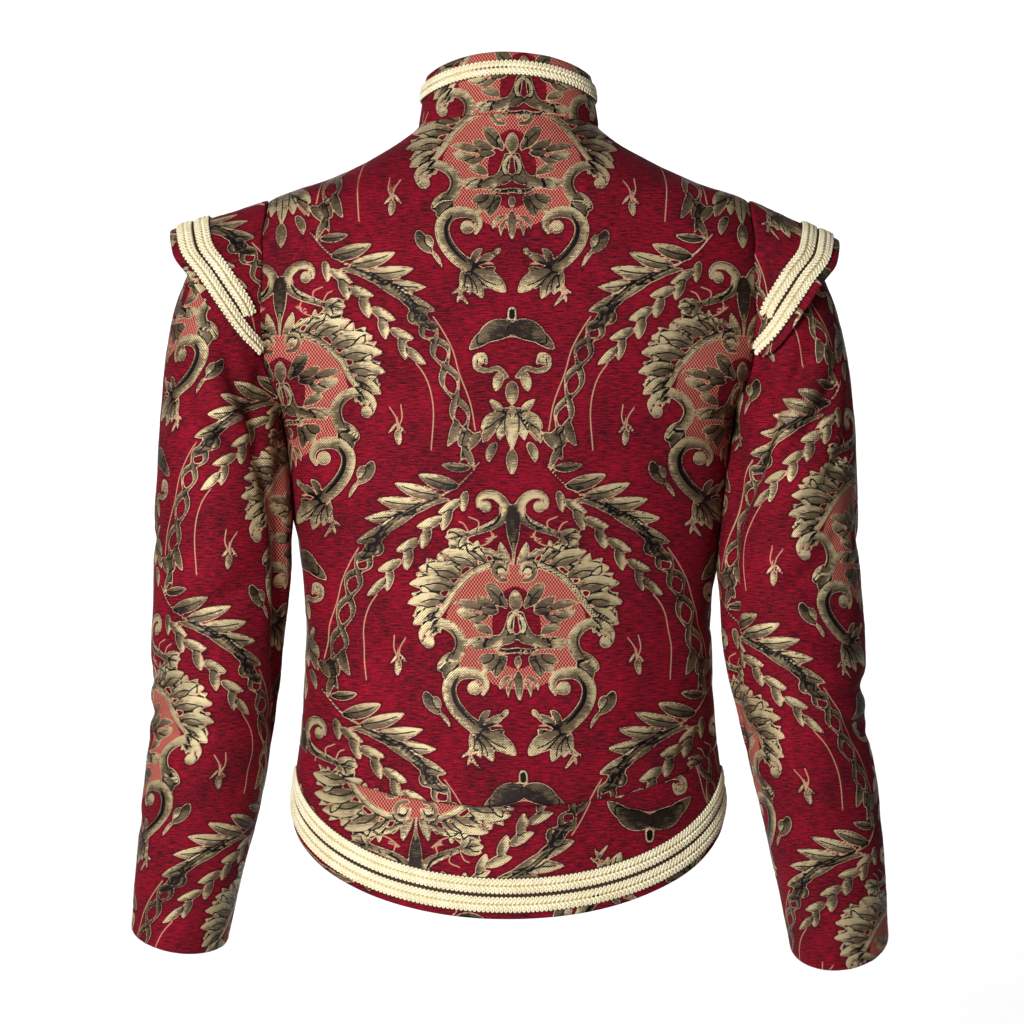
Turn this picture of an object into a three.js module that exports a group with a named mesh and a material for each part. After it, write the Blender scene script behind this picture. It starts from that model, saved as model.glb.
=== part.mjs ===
// A short doublet of damask, hollow and filled out as it is when it is worn.
//
// Millimetres, +Z up. The wearer faces -Y, and +X is the wearer's left. The origin lies midway
// between the two points where the neck seam meets the shoulder seams.
//
// Every cloth piece is a wall of one thickness. Its outer face is a grid of points on a form, and
// its inner face is the same grid moved in. Three forms carry all the pieces: the body, the two
// sleeves and the two wings. A braid is a strip of its carrier's own points, moved out.
import * as THREE from 'three';

// ---------- cloth and sewing ----------
const CLOTH = 2; // wall of the damask with its backing
const SEAM = 0.3; // gap between two pieces that are sewn together
const SLEEVE_START = 0.4; // from the armhole edge of the body to the sleeve's own edge
const BRAID_LIFT = 0.7; // clear space under a braid
const BRAID_THICK = 1.6;
const BRAID_WIDE = 13.6;
const BRAID_SPACE = 1.4; // between two rows of braid

const LEFT = 1;
const RIGHT = -1;
const QUARTER = Math.PI / 2;

// ---------- the body form ----------
// Level sections, from under the hem up to the neck. side is where the section is widest, back and
// front are its depths at the centre back and centre front, and a high power squares its corners.
const BODY = [
  { z: -720, half_width: 190, side: -8, back: 120, front: -128, power: 2.15 },
  { z: -640, half_width: 188, side: -8, back: 119, front: -127, power: 2.15 },
  { z: -577, half_width: 184, side: -8, back: 114, front: -123, power: 2.15 },
  { z: -500, half_width: 175, side: -8, back: 104, front: -118, power: 2.15 },
  { z: -419, half_width: 173, side: -8, back: 98, front: -117, power: 2.15 },
  { z: -323, half_width: 182, side: -8, back: 107, front: -124, power: 2.2 },
  { z: -250, half_width: 189, side: -8, back: 113, front: -125, power: 2.3 },
  { z: -205, half_width: 213, side: -6, back: 113, front: -120, power: 2.6 },
  { z: -155, half_width: 223, side: -4, back: 109, front: -109, power: 2.7 },
  { z: -105, half_width: 219, side: -2, back: 100, front: -93, power: 2.7 },
  { z: -65, half_width: 204, side: 0, back: 88, front: -77, power: 2.3 },
  { z: -46, half_width: 154, side: 0, back: 82, front: -70, power: 2.1 },
  { z: -29, half_width: 118, side: 0, back: 75, front: -63, power: 2.0 },
  { z: -12, half_width: 90, side: 0, back: 68, front: -56, power: 2.0 },
  { z: 0, half_width: 76.5, side: 0, back: 63.5, front: -52, power: 2.0 },
  { z: 14, half_width: 73, side: 0, back: 60, front: -50, power: 2.0 },
];

// ---------- seams and edges round the body ----------
// Each runs at height side over the hip or shoulder, and is moved by back and front at the two
// centres.
const HEM = { side: -577, back: -81, front: -81, blend: 0.06 };
const WAIST = { side: -523, back: -44, front: -44, blend: 0.35 };
const NECK = { side: 0, back: 4, front: -38, blend: 1.2 };
const ARMHOLE = { top: -65, under: -248, back: 60, front: 64, round: 0.92 };
const HEM_MARGIN = 5; // cloth that shows under the lower braid
const STRIP_RADIUS = 100; // turns a small distance round the hem or collar into an angle
const OPENING = 0.6; // between the two fronts, which meet edge to edge on hooks

// ---------- collar ----------
const RIM = { side: 42, back: 15, front: -24, blend: 0.8, half_width: 70.5, back_y: 51, front_y: -64 };
const COLLAR_BRAID_DROP = 7.4; // from the rim down to the braid

// ---------- sleeves ----------
// Sections along each arm, from just under the armhole to the wrist. across is the half width seen
// from behind, and through is the half depth.
const ARM = {
  [LEFT]: [
    { x: 241.5, y: 14, z: -300, across: 55.5, through: 70 },
    { x: 241.5, y: 16, z: -368, across: 58, through: 67 },
    { x: 246, y: 14, z: -436, across: 55.5, through: 62 },
    { x: 251, y: 4, z: -504, across: 53.5, through: 58 },
    { x: 262.5, y: -11, z: -572, across: 50.5, through: 54 },
    { x: 275, y: -28, z: -640, across: 45, through: 49 },
    { x: 283.5, y: -41, z: -690, across: 42, through: 46 },
  ],
  [RIGHT]: [
    { x: 240.5, y: 14, z: -300, across: 54.5, through: 70 },
    { x: 237.5, y: 16, z: -368, across: 58.5, through: 67 },
    { x: 241.5, y: 14, z: -436, across: 60, through: 63 },
    { x: 251, y: 4, z: -504, across: 54, through: 59 },
    { x: 265, y: -11, z: -572, across: 51, through: 55 },
    { x: 277.5, y: -31, z: -640, across: 46.5, through: 50 },
    { x: 287, y: -58, z: -700, across: 43, through: 46 },
  ],
};
// How far the head of the sleeve runs on from the armhole, and comes down on to the first section.
const HEAD = {
  out_top: { [LEFT]: 295, [RIGHT]: 255 },
  out_under: 26,
  down_top: 250,
  down_under: 50,
  slope_top: 19,
  slope_under: 20,
  lean: 0.3,
};

// The largest folds of each sleeve, as soft troughs. Each lies round a place on the arm, given by the
// clock in degrees and the distance down from the first section. slant turns it from level.
const FOLDS = {
  [LEFT]: [
    { clock: 112, down: 84, slant: -38, long: 95, wide: 26, deep: 3.2 },
    { clock: 40, down: 205, slant: 14, long: 80, wide: 22, deep: 2.6 },
    { clock: 150, down: 228, slant: -12, long: 70, wide: 22, deep: 2.8 },
    { clock: -95, down: 196, slant: 8, long: 110, wide: 26, deep: 4 },
    { clock: -70, down: 110, slant: 30, long: 90, wide: 26, deep: 3 },
  ],
  [RIGHT]: [
    { clock: 100, down: 70, slant: -42, long: 120, wide: 25, deep: 3.8 },
    { clock: 72, down: 128, slant: -36, long: 95, wide: 24, deep: 3.2 },
    { clock: 35, down: 214, slant: 12, long: 85, wide: 22, deep: 3 },
    { clock: -88, down: 204, slant: -10, long: 105, wide: 26, deep: 4 },
    { clock: -110, down: 120, slant: -30, long: 90, wide: 26, deep: 3 },
  ],
};

// ---------- wings ----------
// Rows round the armhole, from the shoulder down to where the wing runs out. out, drop and spread
// say where the free edge lies from the seam: sideways, down, and away from the centre of the arm.
const WING = [
  { clock: 0, out: 79, drop: 25, spread: 0 },
  { clock: 22, out: 78, drop: 22, spread: 5 },
  { clock: 45, out: 72, drop: 19, spread: 11 },
  { clock: 68, out: 53, drop: 16, spread: 16 },
  { clock: 86, out: 32, drop: 18, spread: 17 },
  { clock: 98, out: 18, drop: 17, spread: 16 },
  { clock: 110, out: 5, drop: 10, spread: 11 },
];
// The two wings don't sit alike: how far out each reaches, and how much more its tip drops.
const WING_SET = { [LEFT]: { reach: 1, sag: 0 }, [RIGHT]: { reach: 0.92, sag: 8 } };
const WING_LIFT = 0.6; // clear space between the sleeve and the root of the wing
const WING_START = 2; // from the armhole to the wing's own sewn edge
const WING_MARGIN = 6; // cloth that shows outside the outer braid

// ---------- grid sizes ----------
const ROUND_BACK = 20; // columns over the back, and over the two fronts together
const ARMHOLE_STEPS = 10; // along half of the armhole
const SIDE_ROWS = 6; // waist seam to underarm
const SHOULDER_ROWS = 5; // armhole top to neck seam
const HEAD_ROWS = 6; // armhole to the first section of the arm
const ARM_ROWS = 14;
const WING_COLUMNS = 16;

// ---------- looks ----------
const DAMASK = new THREE.MeshStandardMaterial({ color: 0x7e1226, roughness: 0.85, metalness: 0 });
const BRAID = new THREE.MeshStandardMaterial({ color: 0xe6d6a8, roughness: 0.7, metalness: 0 });

const mix = THREE.MathUtils.lerp;
const steps = (count) => Array.from({ length: count + 1 }, (_, i) => i / count);

// ---------- reading a table ----------

// A smooth value of one column, at any place on the table's own scale, with no overshoot.
function smoothColumn(rows, key, places) {
  const values = rows.map((row) => row[key]);
  const slopes = [];
  const last = rows.length - 1;
  for (let i = 0; i < last; i += 1) {
    slopes.push((values[i + 1] - values[i]) / (places[i + 1] - places[i]));
  }
  const tangents = values.map((_, i) => {
    if (i === 0) return slopes[0];
    if (i === last) return slopes[last - 1];
    const product = slopes[i - 1] * slopes[i];
    return product <= 0 ? 0 : (2 * product) / (slopes[i - 1] + slopes[i]);
  });
  return (at) => {
    let i = 0;
    while (i < last - 1 && at > places[i + 1]) i += 1;
    const span = places[i + 1] - places[i];
    const t = THREE.MathUtils.clamp((at - places[i]) / span, 0, 1);
    return hermite(t, values[i], values[i + 1], span * tangents[i], span * tangents[i + 1]);
  };
}

function hermite(t, start, end, leave, arrive) {
  const t2 = t * t;
  const t3 = t2 * t;
  return (2 * t3 - 3 * t2 + 1) * start + (t3 - 2 * t2 + t) * leave
    + (3 * t2 - 2 * t3) * end + (t3 - t2) * arrive;
}

function hermitePoint(t, start, end, leave, arrive) {
  return new THREE.Vector3(
    hermite(t, start.x, end.x, leave.x, arrive.x),
    hermite(t, start.y, end.y, leave.y, arrive.y),
    hermite(t, start.z, end.z, leave.z, arrive.z),
  );
}

// One smooth reader for each named column of a table.
function readTable(rows, placeOf) {
  const places = rows.map(placeOf);
  const readers = {};
  for (const key of Object.keys(rows[0])) readers[key] = smoothColumn(rows, key, places);
  return readers;
}

// ---------- the body form ----------
const body = readTable(BODY, (row) => row.z);

// A point of the body. The angle runs from 0 at the centre back over the wearer's left side to
// half a turn at the centre front.
function bodyPoint(angle, z) {
  const side = body.side(z);
  const power = body.power(z);
  const far = Math.cos(angle) >= 0 ? body.back(z) : body.front(z);
  const across = Math.min(1, Math.abs(Math.sin(angle)));
  const depth = (1 - across ** power) ** (1 / power);
  return new THREE.Vector3(body.half_width(z) * Math.sin(angle), side + (far - side) * depth, z);
}

// Height of a seam or edge at an angle.
function edgeHeight(edge, angle) {
  const c = Math.cos(angle);
  const rounded = (Math.hypot(c, edge.blend) - edge.blend) / (Math.hypot(1, edge.blend) - edge.blend);
  return edge.side + rounded * (c >= 0 ? edge.back : edge.front);
}

// How steeply an edge climbs round the body, as a factor from a distance across it to a height.
function edgeSlant(edge, angle) {
  const step = 0.02;
  const a = bodyPoint(angle - step, edgeHeight(edge, angle - step));
  const b = bodyPoint(angle + step, edgeHeight(edge, angle + step));
  const level = Math.hypot(a.x - b.x, a.y - b.y);
  return Math.hypot(1, (a.z - b.z) / level);
}

// The angle, short of the side, at which a piece of one half ends at height z when its edge is
// to lie a distance y from the widest line.
function angleAtDepth(z, y, facing) {
  const side = body.side(z);
  const far = facing > 0 ? body.back(z) : body.front(z);
  const power = body.power(z);
  const depth = THREE.MathUtils.clamp(y / Math.abs(far - side), 0, 1);
  return Math.asin((1 - depth ** power) ** (1 / power));
}

// The armhole at a clock angle: 0 at the shoulder, a quarter turn behind, half a turn underarm.
function armholeHeight(clock) {
  const middle = (ARMHOLE.top + ARMHOLE.under) / 2;
  return middle + ((ARMHOLE.top - ARMHOLE.under) / 2) * Math.cos(clock);
}

function armholeDepth(clock) {
  const s = Math.sin(clock);
  return (s > 0 ? ARMHOLE.back : ARMHOLE.front) * Math.abs(s) ** ARMHOLE.round;
}

function armholePoint(clock) {
  const z = armholeHeight(clock);
  const facing = Math.sin(clock) >= 0 ? 1 : -1;
  const angle = angleAtDepth(z, armholeDepth(clock), facing);
  return bodyPoint(facing > 0 ? angle : Math.PI - angle, z);
}

// ---------- the sleeve form ----------
const arm = {};
for (const hand of [LEFT, RIGHT]) arm[hand] = readTable(ARM[hand], (row) => ARM[hand].indexOf(row));

function armCentre(hand, at) {
  return new THREE.Vector3(arm[hand].x(at), arm[hand].y(at), arm[hand].z(at));
}

// How deep the folds press in, at a clock angle and a place along the arm.
function foldDepth(hand, clock, at) {
  const down = arm[hand].z(0) - arm[hand].z(at);
  let depth = 0;
  for (const fold of FOLDS[hand]) {
    const turn = clock - THREE.MathUtils.degToRad(fold.clock);
    const nearest = THREE.MathUtils.euclideanModulo(turn + Math.PI, 2 * Math.PI) - Math.PI;
    const round = nearest * arm[hand].through(at);
    const slant = THREE.MathUtils.degToRad(fold.slant);
    const lengthwise = round * Math.cos(slant) + (down - fold.down) * Math.sin(slant);
    const sideways = (down - fold.down) * Math.cos(slant) - round * Math.sin(slant);
    depth += fold.deep * Math.exp(-((2 * lengthwise / fold.long) ** 2) - (2 * sideways / fold.wide) ** 2);
  }
  return depth;
}

function armPoint(hand, clock, at) {
  const reach = 0.02;
  const centre = armCentre(hand, at);
  const down = armCentre(hand, at + reach).sub(armCentre(hand, at - reach)).normalize();
  const out = new THREE.Vector3(-down.z, 0, down.x).normalize();
  const back = new THREE.Vector3().crossVectors(out, down);
  const trough = foldDepth(hand, clock, at);
  return centre
    .addScaledVector(out, (arm[hand].across(at) - trough) * Math.cos(clock))
    .addScaledVector(back, (arm[hand].through(at) - trough) * Math.sin(clock));
}

// The direction in which the sleeve leaves the armhole.
function headDirection(clock) {
  const top = (1 + Math.cos(clock)) / 2;
  const slope = THREE.MathUtils.degToRad(mix(HEAD.slope_under, HEAD.slope_top, top));
  return new THREE.Vector3(Math.cos(slope), HEAD.lean * Math.sin(clock), -Math.sin(slope)).normalize();
}

// The head of the sleeve, from the armhole at t = 0 to the arm's first section at t = 1.
function headPoint(hand, clock, t) {
  const top = ((1 + Math.cos(clock)) / 2) ** 2;
  const leave = headDirection(clock).multiplyScalar(mix(HEAD.out_under, HEAD.out_top[hand], top));
  const end = armPoint(hand, clock, 0);
  const arrive = armPoint(hand, clock, 0.05).sub(end).normalize();
  arrive.multiplyScalar(mix(HEAD.down_under, HEAD.down_top, top));
  const start = armholePoint(clock).addScaledVector(headDirection(clock), SLEEVE_START);
  return hermitePoint(t, start, end, leave, arrive);
}

// The whole sleeve: the head for v from 0 to 1, and the arm for v from 1 to 2.
function sleevePoint(hand, clock, v) {
  if (v < 1) return headPoint(hand, clock, v);
  return armPoint(hand, clock, (v - 1) * (ARM[hand].length - 1));
}

// ---------- the wing form ----------
const wing = readTable(WING, (row) => row.clock);
const WING_END = WING[WING.length - 1].clock;

// A point of the wing, from the seam at t = 0 to the free edge at t = 1. The clock is in degrees,
// and is negative in front.
function wingPoint(hand, clock, t) {
  const near = Math.abs(clock);
  const turn = THREE.MathUtils.degToRad(clock);
  const seam = armholePoint(turn).addScaledVector(headDirection(turn), WING_START);
  const { reach, sag } = WING_SET[hand];
  const out = reach * wing.out(near);
  const drop = wing.drop(near) + (sag * wing.out(near)) / wing.out(0);
  return seam.addScaledVector(new THREE.Vector3(out, wing.spread(near) * Math.sign(clock), -drop), t);
}

// ---------- walls ----------

// A point of a form, and the way out of the garment there. Seen from outside, u runs to the left and
// v runs up, or u to the right and v down.
function sample(form, u, v, du = 0.01, dv = 0.01) {
  const along = form(u, v + dv).sub(form(u, v - dv));
  const across = form(u + du, v).sub(form(u - du, v));
  return { point: form(u, v), normal: along.cross(across).normalize() };
}

const onBody = (angle, z) => sample(bodyPoint, angle, z, 0.02, 0.5);

// A closed wall between two copies of a grid of samples, moved out by inner and by outer.
function wall(grid, inner, outer, around = false) {
  const rows = grid.length;
  const columns = grid[0].length;
  const positions = [];
  for (const offset of [outer, inner]) {
    for (let i = 0; i < rows; i += 1) {
      for (let j = 0; j < columns; j += 1) {
        const p = grid[i][j].point.clone().addScaledVector(grid[i][j].normal, offset);
        positions.push(p.x, p.y, p.z);
      }
    }
  }
  const faces = [];
  const quad = (a, b, c, d) => faces.push(a, c, b, a, d, c);
  const out = (i, j) => i * columns + (j % columns);
  const inn = (i, j) => rows * columns + out(i, j);
  const strips = around ? columns : columns - 1;
  for (let j = 0; j < strips; j += 1) {
    for (let i = 0; i < rows - 1; i += 1) {
      quad(out(i, j), out(i, j + 1), out(i + 1, j + 1), out(i + 1, j));
      quad(inn(i, j), inn(i + 1, j), inn(i + 1, j + 1), inn(i, j + 1));
    }
    quad(inn(0, j), inn(0, j + 1), out(0, j + 1), out(0, j));
    quad(out(rows - 1, j), out(rows - 1, j + 1), inn(rows - 1, j + 1), inn(rows - 1, j));
  }
  if (!around) {
    const end = columns - 1;
    for (let i = 0; i < rows - 1; i += 1) {
      quad(out(i, 0), out(i + 1, 0), inn(i + 1, 0), inn(i, 0));
      quad(inn(i, end), inn(i + 1, end), out(i + 1, end), out(i, end));
    }
  }
  const geometry = new THREE.BufferGeometry();
  geometry.setAttribute('position', new THREE.Float32BufferAttribute(positions, 3));
  geometry.setIndex(faces);
  geometry.computeVertexNormals();
  return geometry;
}

// The same piece for the wearer's right: mirrored, with its columns turned round.
function mirrored(grid) {
  const flip = (p) => new THREE.Vector3(-p.x, p.y, p.z);
  return grid.map((line) => line.map((cell) => ({
    point: flip(cell.point),
    normal: flip(cell.normal),
  })).reverse());
}

// ---------- back and fronts ----------

// The levels of a body panel from the waist seam up to the neck seam. Each gives the height for an
// angle, and how far from the widest line the panel's edge lies there.
function panelLevels() {
  const waist = (angle) => edgeHeight(WAIST, angle) + SEAM / 2;
  const neck = (angle) => edgeHeight(NECK, angle) - SEAM / 2;
  const sides = steps(SIDE_ROWS).map((t) => ({
    height: (angle) => mix(waist(angle), ARMHOLE.under, t),
    clock: null,
  }));
  const armhole = steps(ARMHOLE_STEPS).slice(1).map((t) => ({
    height: () => armholeHeight(Math.PI * (1 - t)),
    clock: Math.PI * (1 - t),
  }));
  const shoulder = steps(SHOULDER_ROWS).slice(1).map((t) => ({
    height: (angle) => mix(ARMHOLE.top, neck(angle), t),
    clock: null,
  }));
  return [...sides, ...armhole, ...shoulder];
}

// The edge of a panel at one level: on the armhole, or half a seam from the side or shoulder line.
function panelEdge(level, facing) {
  const depth = level.clock === null ? 0 : Math.abs(armholeDepth(facing * level.clock));
  const z = level.clock === null ? level.height(QUARTER) : level.height();
  return angleAtDepth(z, Math.max(depth, SEAM / 2), facing);
}

function backGrid() {
  return panelLevels().map((level) => {
    const edge = panelEdge(level, 1);
    return steps(ROUND_BACK).map((s) => {
      const angle = mix(-edge, edge, s);
      return onBody(angle, level.height(angle));
    });
  });
}

// The centre edge of a front lies half the opening from the middle at every height.
function centreAngle(z) {
  return Math.PI - Math.asin(OPENING / 2 / body.half_width(z));
}

function frontGrid() {
  return panelLevels().map((level) => {
    const edge = Math.PI - panelEdge(level, -1);
    return steps(ROUND_BACK / 2).map((s) => {
      const angle = mix(edge, centreAngle(level.height(Math.PI)), s);
      return onBody(angle, level.height(angle));
    });
  });
}

// ---------- strips round the hem ----------

// The distances from the hem up to the edges of the two braids.
const LOWER_BRAID = [HEM_MARGIN, HEM_MARGIN + BRAID_WIDE];
const UPPER_BRAID = LOWER_BRAID.map((d) => d + BRAID_WIDE + BRAID_SPACE);

function aboveHem(angle, distance) {
  return edgeHeight(HEM, angle) + distance * edgeSlant(HEM, angle);
}

// Angles from one end of a strip to the other. Each end stops short of a seam at the side, or of
// the opening at the centre front.
function stripAngles(start, end, count) {
  const atSide = (angle) => Math.abs(angle) < 2;
  const trim = (angle) => (atSide(angle) ? SEAM : OPENING) / STRIP_RADIUS;
  return steps(count).map((s) => mix(start + trim(start), end - trim(end), s));
}

function basqueGrid(start, end, count) {
  const angles = stripAngles(start, end, count);
  const low = [0, ...LOWER_BRAID, ...UPPER_BRAID];
  const rows = low.map((d) => angles.map((angle) => onBody(angle, aboveHem(angle, d))));
  const top = low[low.length - 1];
  for (const t of steps(2).slice(1)) {
    rows.push(angles.map((angle) => {
      const seam = edgeHeight(WAIST, angle) - SEAM / 2;
      return onBody(angle, mix(aboveHem(angle, top), seam, t));
    }));
  }
  return rows;
}

function hemBraidGrid(distances) {
  const angles = stripAngles(-Math.PI, Math.PI, ROUND_BACK * 2);
  return distances.map((d) => angles.map((angle) => onBody(angle, aboveHem(angle, d))));
}

// ---------- collar ----------

function collarPoint(angle, t) {
  const foot = bodyPoint(angle, edgeHeight(NECK, angle));
  foot.z += SEAM / 2;
  const c = Math.cos(angle);
  const rim = new THREE.Vector3(
    RIM.half_width * Math.sin(angle),
    c >= 0 ? RIM.back_y * c : -RIM.front_y * c,
    edgeHeight(RIM, angle),
  );
  return foot.lerp(rim, t);
}

function collarGrid(distancesFromRim) {
  const angles = stripAngles(-Math.PI, Math.PI, ROUND_BACK * 2);
  return distancesFromRim.map((distance) => angles.map((angle) => {
    const height = collarPoint(angle, 0).distanceTo(collarPoint(angle, 1));
    return sample(collarPoint, angle, Math.max(0, 1 - distance / height));
  }));
}

const COLLAR_BRAID = [COLLAR_BRAID_DROP + BRAID_WIDE, COLLAR_BRAID_DROP];
const COLLAR_FOOT = 200; // more than the collar is high, so the row lies on the neck seam

// ---------- sleeves ----------

function sleeveGrid(hand) {
  const count = ARMHOLE_STEPS * 2;
  const clocks = steps(count).slice(0, count).map((s) => 2 * Math.PI * s);
  const places = [...steps(HEAD_ROWS), ...steps(ARM_ROWS).slice(1).map((t) => 1 + t)];
  const form = (clock, v) => sleevePoint(hand, clock, v);
  return places.map((v) => clocks.map((clock) => sample(form, clock, v)));
}

// ---------- wings ----------

const WING_CLOCKS = steps(WING_COLUMNS).map((s) => mix(-WING_END, WING_END, s));

// One row across the wing for each distance in from its free edge. No row passes nearest, which is
// 0 on the seam and 1 on the free edge.
function wingGrid(hand, distances, end, nearest) {
  const form = (clock, t) => wingPoint(hand, clock, t);
  const clocks = WING_CLOCKS.filter((clock) => Math.abs(clock) <= end);
  return distances.map((distance) => clocks.map((clock) => {
    const width = form(clock, 0).distanceTo(form(clock, 1));
    return sample(form, clock, Math.max(nearest, 1 - distance / width), 1);
  }));
}

// The distances of each braid from the free edge, and the clock where it has run into the seam.
const OUTER_BRAID = { row: 'outer', from: WING_MARGIN, end: WING_END };
const INNER_BRAID = { row: 'inner', from: WING_MARGIN + BRAID_WIDE + BRAID_SPACE, end: 90 };
const BRAID_CLEAR = 0.14; // of the wing's width, left between a braid's end and the seam
const WING_FOOT = 200; // more than a wing is wide, so the row lies on the seam

// ---------- the pieces ----------
const doublet = new THREE.Group();

function add(name, grid, material, inner, outer, around = false) {
  const mesh = new THREE.Mesh(wall(grid, inner, outer, around), material);
  mesh.name = name;
  doublet.add(mesh);
}

function addCloth(name, grid, around = false) {
  add(name, grid, DAMASK, -CLOTH, 0, around);
}

function addBraid(name, grid, lift = BRAID_LIFT) {
  add(name, grid, BRAID, lift, lift + BRAID_THICK);
}

addCloth('back', backGrid());
addCloth('front_left', frontGrid());
addCloth('front_right', mirrored(frontGrid()));

const basqueFront = basqueGrid(QUARTER, Math.PI, ROUND_BACK / 2);
addCloth('basque_back', basqueGrid(-QUARTER, QUARTER, ROUND_BACK));
addCloth('basque_front_left', basqueFront);
addCloth('basque_front_right', mirrored(basqueFront));
addBraid('hem_braid_lower', hemBraidGrid(LOWER_BRAID));
addBraid('hem_braid_upper', hemBraidGrid(UPPER_BRAID));

addCloth('collar', collarGrid([COLLAR_FOOT, ...COLLAR_BRAID, 0]));
addBraid('collar_braid', collarGrid(COLLAR_BRAID));

for (const [side, hand] of [['left', LEFT], ['right', RIGHT]]) {
  const turned = (grid) => (hand === LEFT ? grid : mirrored(grid));
  addCloth(`sleeve_${side}`, turned(sleeveGrid(hand)), true);
  const inside = INNER_BRAID.from + BRAID_WIDE;
  const panel = wingGrid(hand, [WING_FOOT, inside, INNER_BRAID.from, WING_MARGIN, 0], WING_END, 0);
  add(`wing_${side}`, turned(panel), DAMASK, WING_LIFT, WING_LIFT + CLOTH);
  for (const { row, from, end } of [OUTER_BRAID, INNER_BRAID]) {
    const grid = wingGrid(hand, [from + BRAID_WIDE, from], end, BRAID_CLEAR);
    addBraid(`wing_braid_${row}_${side}`, turned(grid), WING_LIFT + CLOTH + BRAID_LIFT);
  }
}

export default doublet;
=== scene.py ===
# %% [markdown]
# # A damask doublet, dressed on its plain pattern
# The frame holds the garment as a cutter would see it: back, fronts, collar, sleeves, wings and
# basque, each a plain wall of cloth. This lesson lays fine cloth on the same forms, charts a
# baroque damask, weaves it, presses the creases in, and sews the gimp braid on.
# Every length is in millimetres until a mesh is made, because tailors and looms count that way.

# %% Load the frame
import itertools
import math

import bpy
import numpy as np
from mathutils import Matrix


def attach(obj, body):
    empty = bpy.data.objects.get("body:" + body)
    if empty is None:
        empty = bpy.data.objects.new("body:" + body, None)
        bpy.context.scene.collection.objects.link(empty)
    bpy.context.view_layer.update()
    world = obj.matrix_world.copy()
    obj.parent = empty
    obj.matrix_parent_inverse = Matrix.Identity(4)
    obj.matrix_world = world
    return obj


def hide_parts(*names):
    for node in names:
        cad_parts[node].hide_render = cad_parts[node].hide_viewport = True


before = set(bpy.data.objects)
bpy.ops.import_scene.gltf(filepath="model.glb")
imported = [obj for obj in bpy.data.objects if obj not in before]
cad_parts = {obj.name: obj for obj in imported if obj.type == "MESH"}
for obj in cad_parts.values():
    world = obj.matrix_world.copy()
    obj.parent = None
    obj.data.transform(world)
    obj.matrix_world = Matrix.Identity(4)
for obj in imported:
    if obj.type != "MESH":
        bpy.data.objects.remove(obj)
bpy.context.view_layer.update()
MM = 0.001
FULL_TURN, QUARTER = 2 * math.pi, math.pi / 2


def stand(name, data):
    """Stands an object in the scene."""
    made = bpy.data.objects.new(name, data)
    bpy.context.collection.objects.link(made)
    return made


# %% [markdown]
# ## Where it is seen from
# The doublet is seen from straight behind, at the height of its middle, and from far enough away
# that the sleeves don't look larger than the back. A long lens does that.

# %% Camera
VIEW_FAR = 2.7
VIEW_LEVEL = -0.327
VIEW_ASIDE = -0.003
MM_PER_PIXEL = 0.85
PIXELS = 1024

lens = bpy.data.cameras.new("camera")
lens.sensor_width = 36
lens.lens = lens.sensor_width * VIEW_FAR / (PIXELS * MM_PER_PIXEL * MM)
camera = stand("camera", lens)
camera.location = (VIEW_ASIDE, VIEW_FAR, VIEW_LEVEL)
camera.rotation_euler = (math.radians(90), 0, math.radians(180))
bpy.context.scene.camera = camera
print("lens:", round(lens.lens, 1), "mm")

# %% [markdown]
# ## Light and floor
# A studio lights dark cloth with broad soft boxes. The largest stands by the camera, so that the
# back is bright and its sides fall away. The floor bends up behind the garment into a wall, so
# that no line shows where they meet. Two more boxes face away from the garment and whiten that
# wall, and a weak one lights the front.

# %% Lights
def soft_box(name, place, aim, size, watts):
    lamp = bpy.data.lights.new(name, "AREA")
    lamp.shape, lamp.size, lamp.size_y, lamp.energy = "RECTANGLE", size[0], size[1], watts
    box = stand(name, lamp)
    box.location = place
    way = np.array(aim) - np.array(place)
    level = math.hypot(way[0], way[1])
    box.rotation_euler = (math.atan2(level, -way[2]), 0, math.atan2(-way[0], way[1]))
    return box


MIDDLE = (0, 0, -0.35)
soft_box("box_behind", (1.15, 2.4, 0.0), MIDDLE, (0.8, 1.0), 86)
soft_box("box_above", (0.1, 0.9, 1.7), MIDDLE, (1.6, 1.0), 3)
soft_box("box_left", (2.2, 0.9, 0.2), MIDDLE, (0.9, 1.6), 4)
soft_box("box_right", (-2.2, 1.5, 0.2), MIDDLE, (0.9, 1.6), 3)
soft_box("box_front", (0.4, -2.4, 0.6), MIDDLE, (1.4, 1.4), 9)
for name, x in (("wall_left", 1.3), ("wall_right", -1.3)):
    soft_box(name, (x, -1.3, 0.3), (0.2 * x, -4, -0.5), (0.8, 1.6), 64)
sky = bpy.data.worlds.new("studio")
bpy.context.scene.world = sky
sky.use_nodes = True
sky.node_tree.nodes["Background"].inputs["Color"].default_value = (1, 1, 1, 1)
sky.node_tree.nodes["Background"].inputs["Strength"].default_value = 0.05
bpy.context.scene.view_settings.view_transform = "Standard"

# %% Floor
FLOOR_LEVEL = -1.35
SWEEP_NEAR, SWEEP_FAR, SWEEP_TURN, SWEEP_HIGH, SWEEP_WIDE = 4.0, -3.6, 1.0, 3.2, 5.0
SWEEP_SPANS = 12  # flat strips in the bend


def sweep_floor():
    """A floor along Y that turns up into a wall at its far end."""
    line = [(SWEEP_NEAR, FLOOR_LEVEL)]
    for a in np.linspace(0, QUARTER, SWEEP_SPANS + 1):
        y = SWEEP_FAR + SWEEP_TURN * (1 - math.sin(a))
        line.append((y, FLOOR_LEVEL + SWEEP_TURN * (1 - math.cos(a))))
    line.append((SWEEP_FAR, SWEEP_HIGH))
    points = [(x, y, z) for y, z in line for x in (-SWEEP_WIDE, SWEEP_WIDE)]
    faces = [(2 * i, 2 * i + 1, 2 * i + 3, 2 * i + 2) for i in range(len(line) - 1)]
    sheet = bpy.data.meshes.new("floor")
    sheet.from_pydata(points, [], faces)
    sheet.shade_smooth()
    return stand("floor", sheet)


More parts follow.
